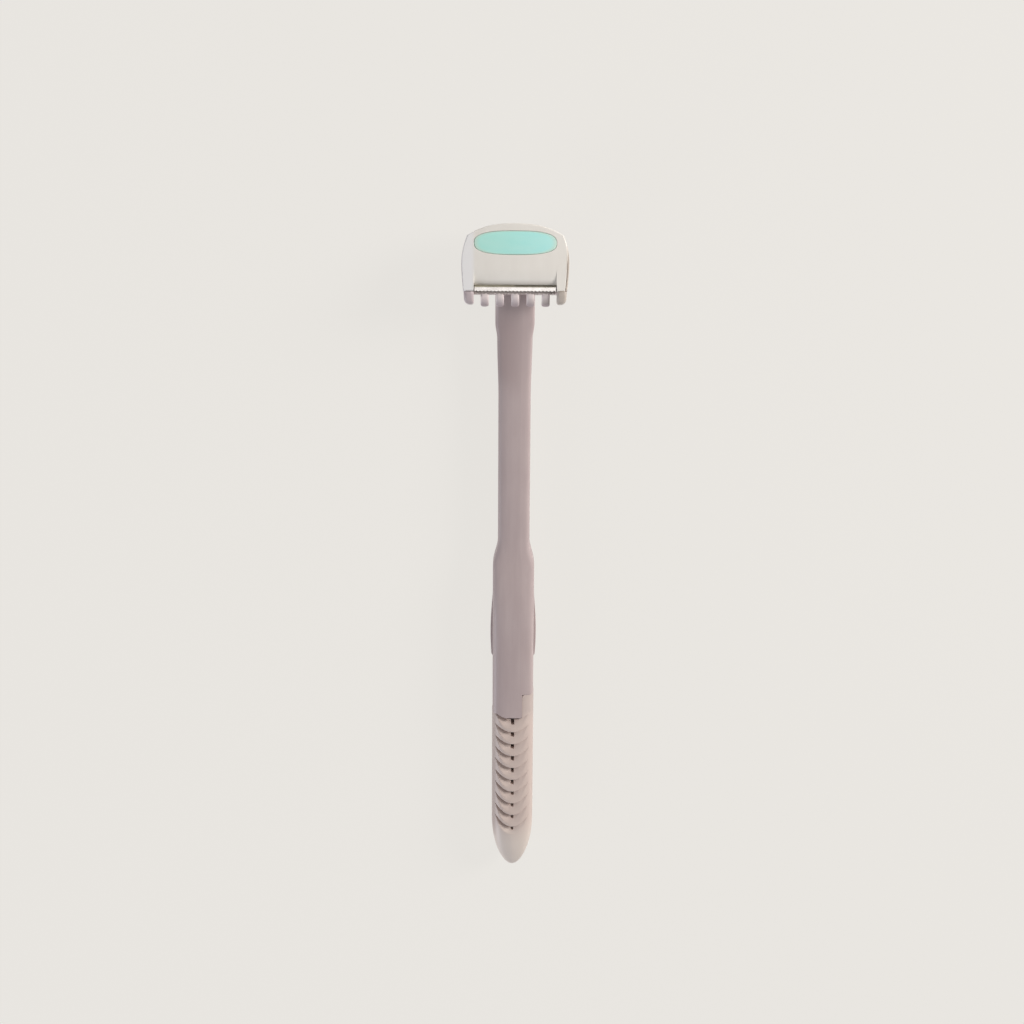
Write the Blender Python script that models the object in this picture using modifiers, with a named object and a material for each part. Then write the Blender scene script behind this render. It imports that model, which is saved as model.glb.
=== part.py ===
# Manual precision trimmer with a pivoting comb head and a pull-off vented tail cap.
# Metres, +Z up. X runs across, +Y towards the head, and the flat back lies on Z = 0.
import bpy
import bmesh
from math import asin, cos, pi, radians, sin, sqrt, tan
from mathutils import Matrix, Vector
from mathutils.geometry import interpolate_bezier

# Handle: lengths along Y, from the tail forwards
CAP_LENGTH = 0.0395
GRIP_LENGTH = 0.0342
SHOULDER_LENGTH = 0.0060
SHAFT_LENGTH = 0.0452
FLARE_LENGTH = 0.0036
NECK_LENGTH = 0.0074
YOKE_REACH = 0.00297

# Handle: sections, walls and the gaps between its pieces
GRIP_WIDTH = 0.0090
GRIP_DEPTH = 0.0086
SHAFT_WIDTH = 0.00685
SHAFT_TOP_WIDTH = 0.0074
TAPER_LENGTH = 0.0130
SHAFT_DEPTH = 0.0065
NECK_WIDTH = 0.0082
NECK_DEPTH = 0.0050
SHELL_WALL = 0.0010
SEAT_GAP = 0.0003
SEAM_GAP = 0.0002
BACK_FLAT = 0.0003
NECK_BEND_LENGTH = 0.0120
NECK_STRAIGHT = 0.0105
NECK_ANGLE = radians(7.5)
SECTION_POWER = 3.0

# Finger rest, the wider stretch of the back shell
REST_BULGE = 0.0005
REST_LENGTH = 0.0144
REST_FROM_MOUTH = 0.0132
REST_END_LENGTH = 0.0007

# Tail cap
CAP_WIDTH = 0.0092
CAP_DEPTH = 0.0086
CAP_NOSE = 0.0130
NOSE_FLAT = 0.00015
CAP_SIDE_WALL = 0.0013
CAP_FRONT_WALL = 0.0020
CAP_BACK_WALL = 0.0012
CAVITY_END_WALL = 0.0080
TAB_HEIGHT = 0.0047
TAB_INNER_EDGE = 0.0021
LOUVRE_COUNT = 10
LOUVRE_FROM_TIP = 0.01166
LOUVRE_HALF_CHORD = 0.0034
LOUVRE_SAG_FIRST = 0.0012
LOUVRE_SAG_LAST = 0.0021
LOUVRE_DEPTH = 0.0011
LOUVRE_RAMP = 0.0021
VENT_WIDTH_FIRST = 0.0010
VENT_WIDTH_LAST = 0.0007
VENT_LENGTH_FIRST = 0.0012
VENT_LENGTH_LAST = 0.0007
VENT_LEDGE = 0.0001

# Small blade under the cap, and its carrier
TANG_LENGTH = 0.0120
SPIGOT_LENGTH = 0.0060
HOLDER_WIDTH = 0.0044
HOLDER_DEPTH = 0.0016
HOLDER_END_GAP = 0.0012
STEP_LENGTH = 0.0006
DETAIL_BLADE_SETBACK = 0.0012
DETAIL_BLADE_WIDTH = 0.0041
DETAIL_BLADE_THICKNESS = 0.0002
DETAIL_EDGE_REACH = 0.0003
DETAIL_GUARD_WIDTH = 0.0022
DETAIL_GUARD_THICKNESS = 0.0002
DETAIL_GUARD_REACH = 0.0002
DETAIL_TOOTH_PITCH = 0.0014
DETAIL_TOOTH_DEPTH = 0.0007
STACK_GAP = 0.00015
RIVET_RADIUS = 0.0004
RIVET_HEAD_RADIUS = 0.0007
RIVET_HEAD_HEIGHT = 0.00025
RIVET_INSET = 0.0030
RIVET_ACROSS = 0.0004

# Head: the face plane is at zero height, and the comb is towards -Y of the head's own frame
HEAD_TILT = radians(20.0)
HEAD_WIDTH = 0.0220
HEAD_APEX = 0.0084
HEAD_WAIST = 0.0003
HEAD_SEAM = 0.0055
SEAM_DRAW = 0.0005
HORN_DROP = 0.0079
HORN_TOP = 0.0005
COVER_INSET = 0.0002
COVER_THICKNESS = 0.0023
COVER_ROUND = 0.0009
COVER_ROOF = 0.0014
COVER_LIP = 0.00415
LIP_ROLL_START = 0.0021
LIP_ROLL_DEPTH = 0.0012
LIP_ROLL_RISE = 0.00004
BASE_BACK = 0.0048
BASE_FLOOR = 0.0010
BASE_ROUND = 0.0006
TRAY_TOP = 0.0024
GUARD_BAR_FRONT = 0.0059
GUARD_BAR_WIDTH = 0.0007
GUARD_BAR_DROP = 0.0021
FIN_SIDE_GAP = 0.0003
FIN_BACK = 0.0053
FIN_FRONT = 0.0058
FIN_DEPTH = 0.0002
FIN_HEIGHT = 0.0003
FIN_PITCH = 0.0009
TOOTH_COUNT = 5
TOOTH_PITCH = 0.00311
TOOTH_WIDTH = 0.0016
TOOTH_REACH = 0.0081
TOOTH_DEPTH = 0.0016
TOOTH_CURL = 0.0012
TOOTH_ROUND = 0.0002

# Strip in the cover's pocket
STRIP_SIDE = 0.0024
STRIP_HALF_HEIGHT = 0.00245
STRIP_FROM_APEX = 0.0042
STRIP_POWER = 2.7
STRIP_THICKNESS = 0.0008
STRIP_PROUD = 0.0001
POCKET_FLOOR_GAP = 0.00015
POCKET_SIDE_GAP = 0.00015

# Blade, its platform and the fine guard over its edge
BLADE_HALF_WIDTH = 0.00825
BLADE_SIDE_GAP = 0.00015
BLADE_EDGE = 0.0051
BLADE_EDGE_DROP = 0.0015
BLADE_LENGTH = 0.0044
BLADE_THICKNESS = 0.00015
BLADE_ANGLE = radians(20.0)
BLADE_BEVEL = 0.0004
GUARD_THICKNESS = 0.0001
GUARD_LENGTH = 0.0008
GUARD_TOOTH_PITCH = 0.0011
GUARD_TOOTH_DEPTH = 0.00025
GUARD_REACH = 0.0001
PLATFORM_LENGTH = 0.0042
PLATFORM_SETBACK = 0.0004

# Pivot: saddle under the base, yoke, pin and return leaf
PIVOT_BELOW_CENTRE = 0.0010
SADDLE_HALF_WIDTH = 0.0050
SADDLE_HALF_LENGTH = 0.0034
SADDLE_THICKNESS = 0.0009
SADDLE_PEG_RADIUS = 0.0005
SADDLE_PEG_LENGTH = 0.0009
SADDLE_PEG_OFFSET = 0.0036
PIVOT_CLEAR = 0.0020
LUG_HALF_WIDTH = 0.0015
LUG_RADIUS = 0.0014
PIN_RADIUS = 0.0005
PIN_HALF_LENGTH = 0.0038
BORE_GAP = 0.0001
YOKE_END_RADIUS = 0.0016
YOKE_SLOT_HALF = 0.0018
YOKE_BLOCK = 0.0008
YOKE_TANG_LENGTH = 0.0085
YOKE_TANG_HALF_WIDTH = 0.0020
YOKE_GROOVE_HALF = 0.0013
YOKE_GROOVE_ROOF = 0.0006
LEAF_HALF_WIDTH = 0.0010
LEAF_THICKNESS = 0.0002
LEAF_ROOT_DROP = 0.0009
LEAF_BELOW_PIVOT = 0.0021
LEAF_TIP_REACH = 0.0037

# Working values
OVERRUN = 0.0040
WELD = 0.000001
HALF_STEPS = 16
ARC_STEPS = 8
ROUND_SEGMENTS = 3
ROD_SIDES = 20
PEG_SIDES = 12
RIVET_SIDES = 16
STRIP_STEPS = 40
FLAT_ANGLE = radians(0.1)

# Positions that follow from the sizes
centre_to_back = BASE_BACK + SEAT_GAP + SADDLE_THICKNESS
pivot_depth = centre_to_back + PIVOT_CLEAR
apex_height = HEAD_APEX - COVER_INSET + PIVOT_BELOW_CENTRE
apex_reach = apex_height * cos(HEAD_TILT) + (pivot_depth - COVER_ROUND) * sin(HEAD_TILT)
handle_length = CAP_LENGTH + GRIP_LENGTH + SHOULDER_LENGTH + SHAFT_LENGTH + FLARE_LENGTH + NECK_LENGTH
tip_y = -(handle_length + YOKE_REACH + apex_reach) / 2
mouth_y = tip_y + CAP_LENGTH
grip_end_y = mouth_y + GRIP_LENGTH
shaft_start_y = grip_end_y + SHOULDER_LENGTH
flare_start_y = shaft_start_y + SHAFT_LENGTH
neck_start_y = flare_start_y + FLARE_LENGTH
neck_end_y = neck_start_y + NECK_LENGTH
pivot_y = neck_end_y + YOKE_REACH
neck_slope = tan(NECK_ANGLE)
bend_end_y = neck_end_y - NECK_STRAIGHT
bend_start_y = bend_end_y - NECK_BEND_LENGTH
louvre_pitch = (CAP_LENGTH - LOUVRE_SAG_FIRST - LOUVRE_FROM_TIP) / (LOUVRE_COUNT - 1)
shaft_axis_z = SHAFT_DEPTH / 2
grip_axis_z = GRIP_DEPTH / 2
pivot_z = shaft_axis_z + neck_slope * (pivot_y - bend_end_y + NECK_BEND_LENGTH / 2)

# Shares that place the stations of the lofts and the points of the head's outline
even_shares = (0.0, 0.25, 0.5, 0.75, 1.0)
nose_shares = (0.0, 0.02, 0.06, 0.12, 0.22, 0.35, 0.52, 0.75, 1.0)
rest_shares = (0.0, 0.15, 0.3, 0.45, 0.6, 0.75, 0.88, 1.0)
rest_end_share = 0.78
nose_length_power = 2.1
nose_width_power = 1.55
apex_handle_share = 0.89
side_handle_share = 0.85
waist_handle_share = 0.45
foot_handle_share = 0.16
foot_spread_share = 0.32
horn_handle_share = 0.6
horn_foot_share = 0.62
tooth_edge_shares = (0.25, 0.33, 0.67, 0.75)

# Widths inside the head, from its outline and from the blade
seam_half_width = HEAD_WIDTH / 2 - SEAM_DRAW
horn_inner = BLADE_HALF_WIDTH + BLADE_SIDE_GAP
horn_foot = horn_inner + (seam_half_width - horn_inner) * horn_foot_share
fin_half_width = horn_inner - FIN_SIDE_GAP
strip_half_width = HEAD_WIDTH / 2 - STRIP_SIDE
strip_centre = HEAD_APEX - STRIP_FROM_APEX


def smooth(value, start, end):
    # 0 before start, 1 after end, with a soft S between them
    share = min(max((value - start) / (end - start), 0.0), 1.0)
    return share * share * (3 - 2 * share)


def blend(first, last, share):
    return first + (last - first) * share


def handle_width(y):
    # grip, soft shoulder down to the shaft, then the flare up to the neck
    width = blend(GRIP_WIDTH, SHAFT_WIDTH, smooth(y, grip_end_y, shaft_start_y))
    width += (SHAFT_TOP_WIDTH - SHAFT_WIDTH) * smooth(y, flare_start_y - TAPER_LENGTH, flare_start_y)
    return width + (NECK_WIDTH - SHAFT_TOP_WIDTH) * smooth(y, flare_start_y, neck_start_y)


def handle_depth(y):
    depth = blend(GRIP_DEPTH, SHAFT_DEPTH, smooth(y, grip_end_y - SHOULDER_LENGTH, shaft_start_y))
    return depth + (NECK_DEPTH - SHAFT_DEPTH) * smooth(y, bend_start_y, neck_start_y)


def handle_axis_z(y):
    # the axis follows the middle of the depth, and bends up towards the head
    level = blend(grip_axis_z, shaft_axis_z, smooth(y, grip_end_y - SHOULDER_LENGTH, shaft_start_y))
    along = y - bend_start_y
    if along <= 0:
        return level
    if along < NECK_BEND_LENGTH:
        return level + neck_slope * along * along / (2 * NECK_BEND_LENGTH)
    return level + neck_slope * (along - NECK_BEND_LENGTH / 2)


def lean_back(y):
    # sections past the bend stand square to the rising axis
    return neck_slope * smooth(y, bend_start_y, bend_end_y)


def rest_bulge(y):
    # swells and sinks again along a sine towards the tail, and ends in a short step
    end = mouth_y + REST_FROM_MOUTH
    share = min(max((end + REST_LENGTH - y) / REST_LENGTH, 0.0), 1.0)
    return REST_BULGE * sin(pi * rest_end_share * share) * smooth(y, end - REST_END_LENGTH, end)


def nose_share(distance):
    # the pointed end: 0 at the tip, 1 where the cap is full
    share = min((distance + NOSE_FLAT) / CAP_NOSE, 1.0)
    return (1 - (1 - share) ** nose_length_power) ** (1 / nose_width_power)


def curve_point(angle, half_width, half_depth):
    # one point of a superellipse, as offsets across and up
    c, s = cos(angle), sin(angle)
    power = 2 / SECTION_POWER
    x = half_width * abs(c) ** power * (1 if c >= 0 else -1)
    z = half_depth * abs(s) ** power * (1 if s >= 0 else -1)
    return x, z


def clear_scene():
    for item in list(bpy.data.objects):
        bpy.data.objects.remove(item, do_unlink=True)


def make_collection(name):
    collection = bpy.data.collections.new(name)
    bpy.context.scene.collection.children.link(collection)
    return collection


def make_material(name, colour, roughness, metallic=0.0):
    material = bpy.data.materials.new(name)
    material.use_nodes = True
    shader = material.node_tree.nodes["Principled BSDF"]
    shader.inputs["Base Color"].default_value = (*colour, 1.0)
    shader.inputs["Roughness"].default_value = roughness
    shader.inputs["Metallic"].default_value = metallic
    material.diffuse_color = (*colour, 1.0)
    return material


def add_piece(name, mesh, material, parent=None, location=(0, 0, 0)):
    mesh.name = name
    mesh.materials.clear()
    mesh.materials.append(material)
    piece = bpy.data.objects.new(name, mesh)
    parts.objects.link(piece)
    piece.parent = parent
    piece.location = location
    return piece


def add_cutter(name, mesh, parent=None, location=(0, 0, 0)):
    cutter = bpy.data.objects.new(name, mesh)
    cutters.objects.link(cutter)
    cutter.parent = parent
    cutter.location = location
    cutter.hide_render = True
    cutter.display_type = "WIRE"
    return cutter


def add_empty(name, location, angle=0.0, parent=None):
    empty = bpy.data.objects.new(name, None)
    parts.objects.link(empty)
    empty.parent = parent
    empty.location = location
    empty.rotation_euler = (angle, 0, 0)
    return empty


def boolean(piece, tool, operation="DIFFERENCE"):
    modifier = piece.modifiers.new(tool.name, "BOOLEAN")
    modifier.operation = operation
    modifier.object = tool


def to_mesh(name, shape, matrix=None):
    bmesh.ops.remove_doubles(shape, verts=shape.verts, dist=WELD)
    if matrix is not None:
        shape.transform(matrix)
    mesh = bpy.data.meshes.new(name)
    shape.to_mesh(mesh)
    shape.free()
    return mesh


def box(name, low, high):
    shape = bmesh.new()
    bmesh.ops.create_cube(shape, size=1)
    size = [b - a for a, b in zip(low, high)]
    middle = [(a + b) / 2 for a, b in zip(low, high)]
    matrix = Matrix.Translation(middle) @ Matrix.Diagonal((*size, 1))
    return to_mesh(name, shape, matrix)


def rod(name, radius, start, end, across=0.0, up=0.0, axis="X", sides=ROD_SIDES):
    # a cylinder from start to end along one axis
    shape = bmesh.new()
    length = end - start
    bmesh.ops.create_cone(shape, cap_ends=True, segments=sides, radius1=radius, radius2=radius, depth=length)
    middle = (start + end) / 2
    if axis == "X":
        matrix = Matrix.Translation((middle, across, up)) @ Matrix.Rotation(pi / 2, 4, "Y")
    else:
        matrix = Matrix.Translation((across, up, middle))
    return to_mesh(name, shape, matrix)


def prism(name, outline, low, high, side_view=False):
    # a flat outline between two heights; side_view lays it in the YZ plane and runs it along X
    curve = bpy.data.curves.new(name, "CURVE")
    curve.dimensions = "2D"
    curve.fill_mode = "BOTH"
    curve.extrude = (high - low) / 2
    spline = curve.splines.new("POLY")
    spline.points.add(len(outline) - 1)
    for point, (x, y) in zip(spline.points, outline):
        point.co = (x, y, 0, 1)
    spline.use_cyclic_u = True
    holder = bpy.data.objects.new(name, curve)
    cutters.objects.link(holder)
    bpy.context.view_layer.update()
    graph = bpy.context.evaluated_depsgraph_get()
    flat = bpy.data.meshes.new_from_object(holder.evaluated_get(graph))
    bpy.data.objects.remove(holder, do_unlink=True)
    bpy.data.curves.remove(curve)
    shape = bmesh.new()
    shape.from_mesh(flat)
    bpy.data.meshes.remove(flat)
    bmesh.ops.remove_doubles(shape, verts=shape.verts, dist=WELD)
    bmesh.ops.recalc_face_normals(shape, faces=shape.faces)
    bmesh.ops.dissolve_limit(shape, angle_limit=FLAT_ANGLE, verts=shape.verts, edges=shape.edges)
    for face in shape.faces:
        face.smooth = False
    matrix = Matrix.Translation((0, 0, (low + high) / 2))
    if side_view:
        turn = Matrix(((0, 0, 1, 0), (1, 0, 0, 0), (0, 1, 0, 0), (0, 0, 0, 1)))
        matrix = turn @ matrix
    return to_mesh(name, shape, matrix)


def loft(name, rings, closed):
    # quads between rings of equal count; a closed loft also gets its two end faces
    shape = bmesh.new()
    rows = [[shape.verts.new(point) for point in ring] for ring in rings]
    count = len(rows[0])
    spans = count if closed else count - 1
    for back, front in zip(rows, rows[1:]):
        for i in range(spans):
            k = (i + 1) % count
            shape.faces.new((back[i], front[i], front[k], back[k]))
    if closed:
        shape.faces.new(rows[0])
        shape.faces.new(rows[-1][::-1])
        bmesh.ops.recalc_face_normals(shape, faces=shape.faces)
    return to_mesh(name, shape)


def rounded_slab(name, outline, low, high, round_low=0.0, round_high=0.0):
    # a slab of one outline whose lower and upper rims are drawn in along quarter rounds
    half_width = max(x for x, y in outline)
    top = max(y for x, y in outline)
    bottom = min(y for x, y in outline)
    middle, half_height = (top + bottom) / 2, (top - bottom) / 2
    levels = []
    for radius, edge, way in ((round_low, low, 1), (round_high, high, -1)):
        steps = ROUND_SEGMENTS if radius > 0 else 0
        arc = [pi / 2 * i / max(steps, 1) for i in range(steps + 1)]
        side = [(radius * (1 - sin(a)), edge + way * radius * (1 - cos(a))) for a in arc]
        levels += side if way > 0 else side[::-1]
    rings = []
    for inset, z in levels:
        wide = 1 - inset / half_width
        tall = 1 - inset / half_height
        rings.append([(x * wide, middle + (y - middle) * tall, z) for x, y in outline])
    return loft(name, rings, closed=True)


def full_ring(y, half_width, up, down, axis_z):
    # a closed section whose front and back halves may differ in depth
    ring = []
    for i in range(2 * HALF_STEPS):
        angle = pi * i / HALF_STEPS
        depth = up if angle <= pi else down
        x, z = curve_point(angle, half_width, depth)
        ring.append((x, y, axis_z + z))
    return ring


def toothed_strip(half_width, back, root, tip, tooth_pitch):
    # a strip with a straight back edge, and blunt teeth from root to tip along its front edge
    teeth = int(round(2 * half_width / tooth_pitch))
    pitch = 2 * half_width / teeth
    outline = [(half_width, back), (-half_width, back), (-half_width, root)]
    for i in range(teeth):
        for share, y in zip(tooth_edge_shares, (root, tip, tip, root)):
            outline.append((-half_width + pitch * (i + share), y))
    outline.append((half_width, root))
    return outline


def handle_stations():
    rear = mouth_y - LOUVRE_SAG_FIRST - SHELL_WALL
    end = mouth_y + REST_FROM_MOUTH
    stations = [rear, mouth_y]
    stations += [end - REST_END_LENGTH, end - REST_END_LENGTH / 2]
    stations += [blend(end, end + REST_LENGTH, share) for share in rest_shares]
    shoulder_back = grip_end_y - SHOULDER_LENGTH
    stations += [blend(shoulder_back, grip_end_y, share) for share in even_shares]
    stations += [blend(grip_end_y, shaft_start_y, share) for share in even_shares]
    stations += [blend(bend_start_y, bend_end_y, share) for share in even_shares]
    stations += [blend(flare_start_y, neck_start_y, share) for share in even_shares]
    stations.append(neck_end_y)
    ordered = []
    for y in sorted(stations):
        if not ordered or y - ordered[-1] > SEAT_GAP:
            ordered.append(y)
    return ordered


def shell_mesh(name, front):
    rings = []
    for y in handle_stations():
        half_width = handle_width(y) / 2
        half_depth = (handle_depth(y) - SEAM_GAP) / 2
        axis_z = handle_axis_z(y) + (SEAM_GAP if front else -SEAM_GAP) / 2
        if not front:
            half_width += rest_bulge(y)
        ring = []
        for i in range(HALF_STEPS + 1):
            angle = pi * i / HALF_STEPS + (0 if front else pi)
            x, z = curve_point(angle, half_width, half_depth + (0 if front else BACK_FLAT))
            if not front:
                z = max(z, -half_depth)
            ring.append((x, y - z * lean_back(y), axis_z + z))
        rings.append(ring)
    return loft(name, rings, closed=False)


def mouth_outline(gap, beyond):
    # the line between handle and cap: crescent in the middle, and the tab's notch on the +X side
    side_y = mouth_y + gap
    radius = arc_radius(LOUVRE_HALF_CHORD, LOUVRE_SAG_FIRST) - gap
    middle_y = mouth_y - LOUVRE_SAG_FIRST + gap + radius
    reach = asin((LOUVRE_HALF_CHORD - gap) / radius)
    tab_x = TAB_INNER_EDGE - gap
    points = [(-CAP_WIDTH, side_y)]
    for i in range(2 * ARC_STEPS + 1):
        angle = -reach + reach * i / ARC_STEPS
        x = radius * sin(angle)
        if x < tab_x:
            points.append((x, middle_y - radius * cos(angle)))
    points.append((tab_x, middle_y - sqrt(radius * radius - tab_x * tab_x)))
    points.append((tab_x, mouth_y + TAB_HEIGHT + gap))
    points.append((CAP_WIDTH, mouth_y + TAB_HEIGHT + gap))
    points.append((CAP_WIDTH, beyond))
    points.append((-CAP_WIDTH, beyond))
    return points


def arc_radius(half_chord, sag):
    return (half_chord * half_chord + sag * sag) / (2 * sag)


def make_shells():
    top = GRIP_DEPTH + OVERRUN
    for name, front in (("handle_front_shell", True), ("handle_back_shell", False)):
        piece = add_piece(name, shell_mesh(name, front), mauve)
        wall = piece.modifiers.new("Wall", "SOLIDIFY")
        wall.thickness = SHELL_WALL
        wall.offset = -1
        end_cut = prism(name + "_end_cut", mouth_outline(SEAT_GAP, tip_y), -OVERRUN, top)
        boolean(piece, add_cutter(name + "_end_cut", end_cut))


def cap_ring(y, inset=0.0):
    share = nose_share(y - tip_y)
    half_width = (CAP_WIDTH / 2 - inset) * share
    half_depth = (CAP_DEPTH / 2 - inset) * share
    ring = []
    for x, place, z in full_ring(y, half_width, half_depth, half_depth + BACK_FLAT * share, CAP_DEPTH / 2):
        ring.append((x, place, max(z, 0.0)))
    return ring


def louvre_cutter(name, y, sag):
    # a sawtooth section swung about an upright axis: upright wall on the head side, ramp to the tail
    radius = arc_radius(LOUVRE_HALF_CHORD, sag)
    reach = asin(LOUVRE_HALF_CHORD / radius)
    top = CAP_DEPTH + SEAT_GAP
    floor = CAP_DEPTH - LOUVRE_DEPTH
    foot = radius + LOUVRE_RAMP
    profile = [(radius, floor), (foot, CAP_DEPTH), (foot, top), (radius, top)]
    rings = []
    for i in range(2 * ARC_STEPS + 1):
        angle = reach - reach * i / ARC_STEPS
        rings.append([(r * sin(angle), y + radius - r * cos(angle), z) for r, z in profile])
    return loft(name, rings, closed=True)


def make_cap(cap_frame):
    nose = [tip_y + CAP_NOSE * share for share in nose_shares]
    stations = nose + [mouth_y - CAP_NOSE, mouth_y, mouth_y + TAB_HEIGHT]
    rings = [cap_ring(y) for y in stations]
    mesh = loft("end_cap", rings, closed=True)
    piece = add_piece("end_cap", mesh, beige, cap_frame)
    offset = Vector(cap_frame.location)
    mesh.transform(Matrix.Translation(-offset))

    half_width = CAP_WIDTH / 2 - CAP_SIDE_WALL
    up = CAP_DEPTH / 2 - CAP_FRONT_WALL
    down = CAP_DEPTH / 2 - CAP_BACK_WALL
    cavity_end = tip_y + CAVITY_END_WALL
    cavity = [
        full_ring(cavity_end, half_width - SEAT_GAP, up - SEAT_GAP, down - SEAT_GAP, CAP_DEPTH / 2),
        full_ring(cavity_end + CAP_SIDE_WALL, half_width, up, down, CAP_DEPTH / 2),
        full_ring(mouth_y + TAB_HEIGHT + OVERRUN, half_width, up, down, CAP_DEPTH / 2),
    ]
    boolean(piece, add_cutter("cap_cavity_cut", loft("cap_cavity_cut", cavity, closed=True)))

    beyond = mouth_y + TAB_HEIGHT + 2 * OVERRUN
    mouth = prism("cap_mouth_cut", mouth_outline(0.0, beyond), -OVERRUN, CAP_DEPTH + OVERRUN)
    boolean(piece, add_cutter("cap_mouth_cut", mouth))

    for i in range(LOUVRE_COUNT):
        share = i / (LOUVRE_COUNT - 1)
        sag = blend(LOUVRE_SAG_FIRST, LOUVRE_SAG_LAST, share)
        y = mouth_y - LOUVRE_SAG_FIRST - louvre_pitch * i
        if i > 0:
            name = "louvre_cut_%02d" % (i + 1)
            boolean(piece, add_cutter(name, louvre_cutter(name, y, sag)))
        width = blend(VENT_WIDTH_FIRST, VENT_WIDTH_LAST, share) / 2
        length = blend(VENT_LENGTH_FIRST, VENT_LENGTH_LAST, share)
        name = "vent_cut_%02d" % (i + 1)
        low = (-width, y - length, CAP_DEPTH - CAP_FRONT_WALL - SEAT_GAP)
        high = (width, y + (OVERRUN if i == 0 else -VENT_LEDGE), CAP_DEPTH + OVERRUN)
        boolean(piece, add_cutter(name, box(name, low, high)))


def make_detail_blade():
    axis_z = GRIP_DEPTH / 2
    tang_half = GRIP_WIDTH / 2 - SHELL_WALL - SEAT_GAP
    tang_depth = GRIP_DEPTH / 2 - SHELL_WALL - SEAT_GAP
    spigot_half = CAP_WIDTH / 2 - CAP_SIDE_WALL - SEAT_GAP
    spigot_depth = CAP_DEPTH / 2 - CAP_FRONT_WALL - SEAT_GAP
    spigot_start = mouth_y + SEAT_GAP
    holder_start = mouth_y - LOUVRE_SAG_FIRST - SPIGOT_LENGTH
    holder_end = tip_y + CAVITY_END_WALL + HOLDER_END_GAP
    half = HOLDER_WIDTH / 2
    thick = HOLDER_DEPTH / 2
    sections = [
        (holder_end, half, thick),
        (holder_start - STEP_LENGTH, half, thick),
        (holder_start, spigot_half, spigot_depth),
        (spigot_start + TAB_HEIGHT, spigot_half, spigot_depth),
        (spigot_start + TAB_HEIGHT + STEP_LENGTH, tang_half, tang_depth),
        (mouth_y + TANG_LENGTH, tang_half, tang_depth),
    ]
    rings = [full_ring(y, across, deep, deep, axis_z) for y, across, deep in sections]
    carrier = add_piece("detail_carrier", loft("detail_carrier", rings, closed=True), mauve)

    blade_front = holder_start - STEP_LENGTH - SEAT_GAP
    blade_end = holder_end + DETAIL_BLADE_SETBACK
    blade_length = blade_front - blade_end
    low_z = axis_z + thick + STACK_GAP
    high_z = low_z + DETAIL_BLADE_THICKNESS
    edge_x = half + DETAIL_EDGE_REACH
    low = (edge_x - DETAIL_BLADE_WIDTH, blade_end, low_z)
    blade = add_piece("detail_blade", box("detail_blade", low, (edge_x, blade_front, high_z)), steel)

    guard_x = edge_x + DETAIL_GUARD_REACH
    root_x = guard_x - DETAIL_TOOTH_DEPTH
    back_x = root_x - DETAIL_GUARD_WIDTH
    strip = toothed_strip(blade_length / 2, -back_x, -root_x, -guard_x, DETAIL_TOOTH_PITCH)
    outline = [(-reach, (blade_front + blade_end) / 2 + along) for along, reach in strip]
    guard_z = high_z + STACK_GAP
    mesh = prism("detail_guard", outline, guard_z, guard_z + DETAIL_GUARD_THICKNESS)
    guard = add_piece("detail_guard", mesh, steel)

    for name, y in (("front", blade_front - RIVET_INSET), ("rear", blade_end + RIVET_INSET)):
        hole = rod("rivet_%s_hole" % name, RIVET_RADIUS + BORE_GAP, axis_z - OVERRUN, axis_z + OVERRUN,
                   RIVET_ACROSS, y, "Z")
        hole_cut = add_cutter("rivet_%s_hole" % name, hole)
        for piece in (carrier, blade, guard):
            boolean(piece, hole_cut)
        make_rivet("detail_rivet_" + name, y, axis_z - thick, guard_z + DETAIL_GUARD_THICKNESS)


def make_rivet(name, y, bottom, top):
    # the profile runs down the outer side, from the axis at the top to the axis at the bottom
    high = top + STACK_GAP
    low = bottom - STACK_GAP
    profile = [
        (0, high + RIVET_HEAD_HEIGHT), (RIVET_HEAD_RADIUS, high + RIVET_HEAD_HEIGHT),
        (RIVET_HEAD_RADIUS, high), (RIVET_RADIUS, high),
        (RIVET_RADIUS, low), (RIVET_HEAD_RADIUS, low),
        (RIVET_HEAD_RADIUS, low - RIVET_HEAD_HEIGHT), (0, low - RIVET_HEAD_HEIGHT),
    ]
    mesh = bpy.data.meshes.new(name)
    edges = [(i, i + 1) for i in range(len(profile) - 1)]
    mesh.from_pydata([(x, 0, z) for x, z in profile], edges, [])
    piece = add_piece(name, mesh, steel, location=(RIVET_ACROSS, y, 0))
    turn = piece.modifiers.new("Turn", "SCREW")
    turn.steps = RIVET_SIDES
    turn.render_steps = RIVET_SIDES
    turn.use_merge_vertices = True
    turn.merge_threshold = WELD


def bezier_side(half_width, apex, seam, foot_half):
    # the right half of the head's outline: from the apex over the waist down to the seam
    apex_point = Vector((0, apex, 0))
    waist = Vector((half_width, HEAD_WAIST, 0))
    foot = Vector((foot_half, -seam, 0))
    first = interpolate_bezier(
        apex_point,
        Vector((half_width * apex_handle_share, apex, 0)),
        Vector((half_width, apex * side_handle_share, 0)),
        waist,
        ARC_STEPS * 2,
    )
    drop = HEAD_WAIST + seam
    second = interpolate_bezier(
        waist,
        Vector((half_width, HEAD_WAIST - drop * waist_handle_share, 0)),
        Vector((blend(foot_half, half_width, foot_spread_share), -seam + drop * foot_handle_share, 0)),
        foot,
        ARC_STEPS,
    )
    return [(p.x, p.y) for p in first] + [(p.x, p.y) for p in second[1:]]


def mirrored(side):
    # closes a right half, listed from the apex down, with its left half
    return side + [(-x, y) for x, y in reversed(side[1:])]


def superellipse(half_width, half_height, centre, power):
    points = []
    for i in range(STRIP_STEPS):
        angle = 2 * pi * i / STRIP_STEPS
        c, s = cos(angle), sin(angle)
        x = half_width * abs(c) ** (2 / power) * (1 if c >= 0 else -1)
        y = half_height * abs(s) ** (2 / power) * (1 if s >= 0 else -1)
        points.append((x, centre + y))
    return points


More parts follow.
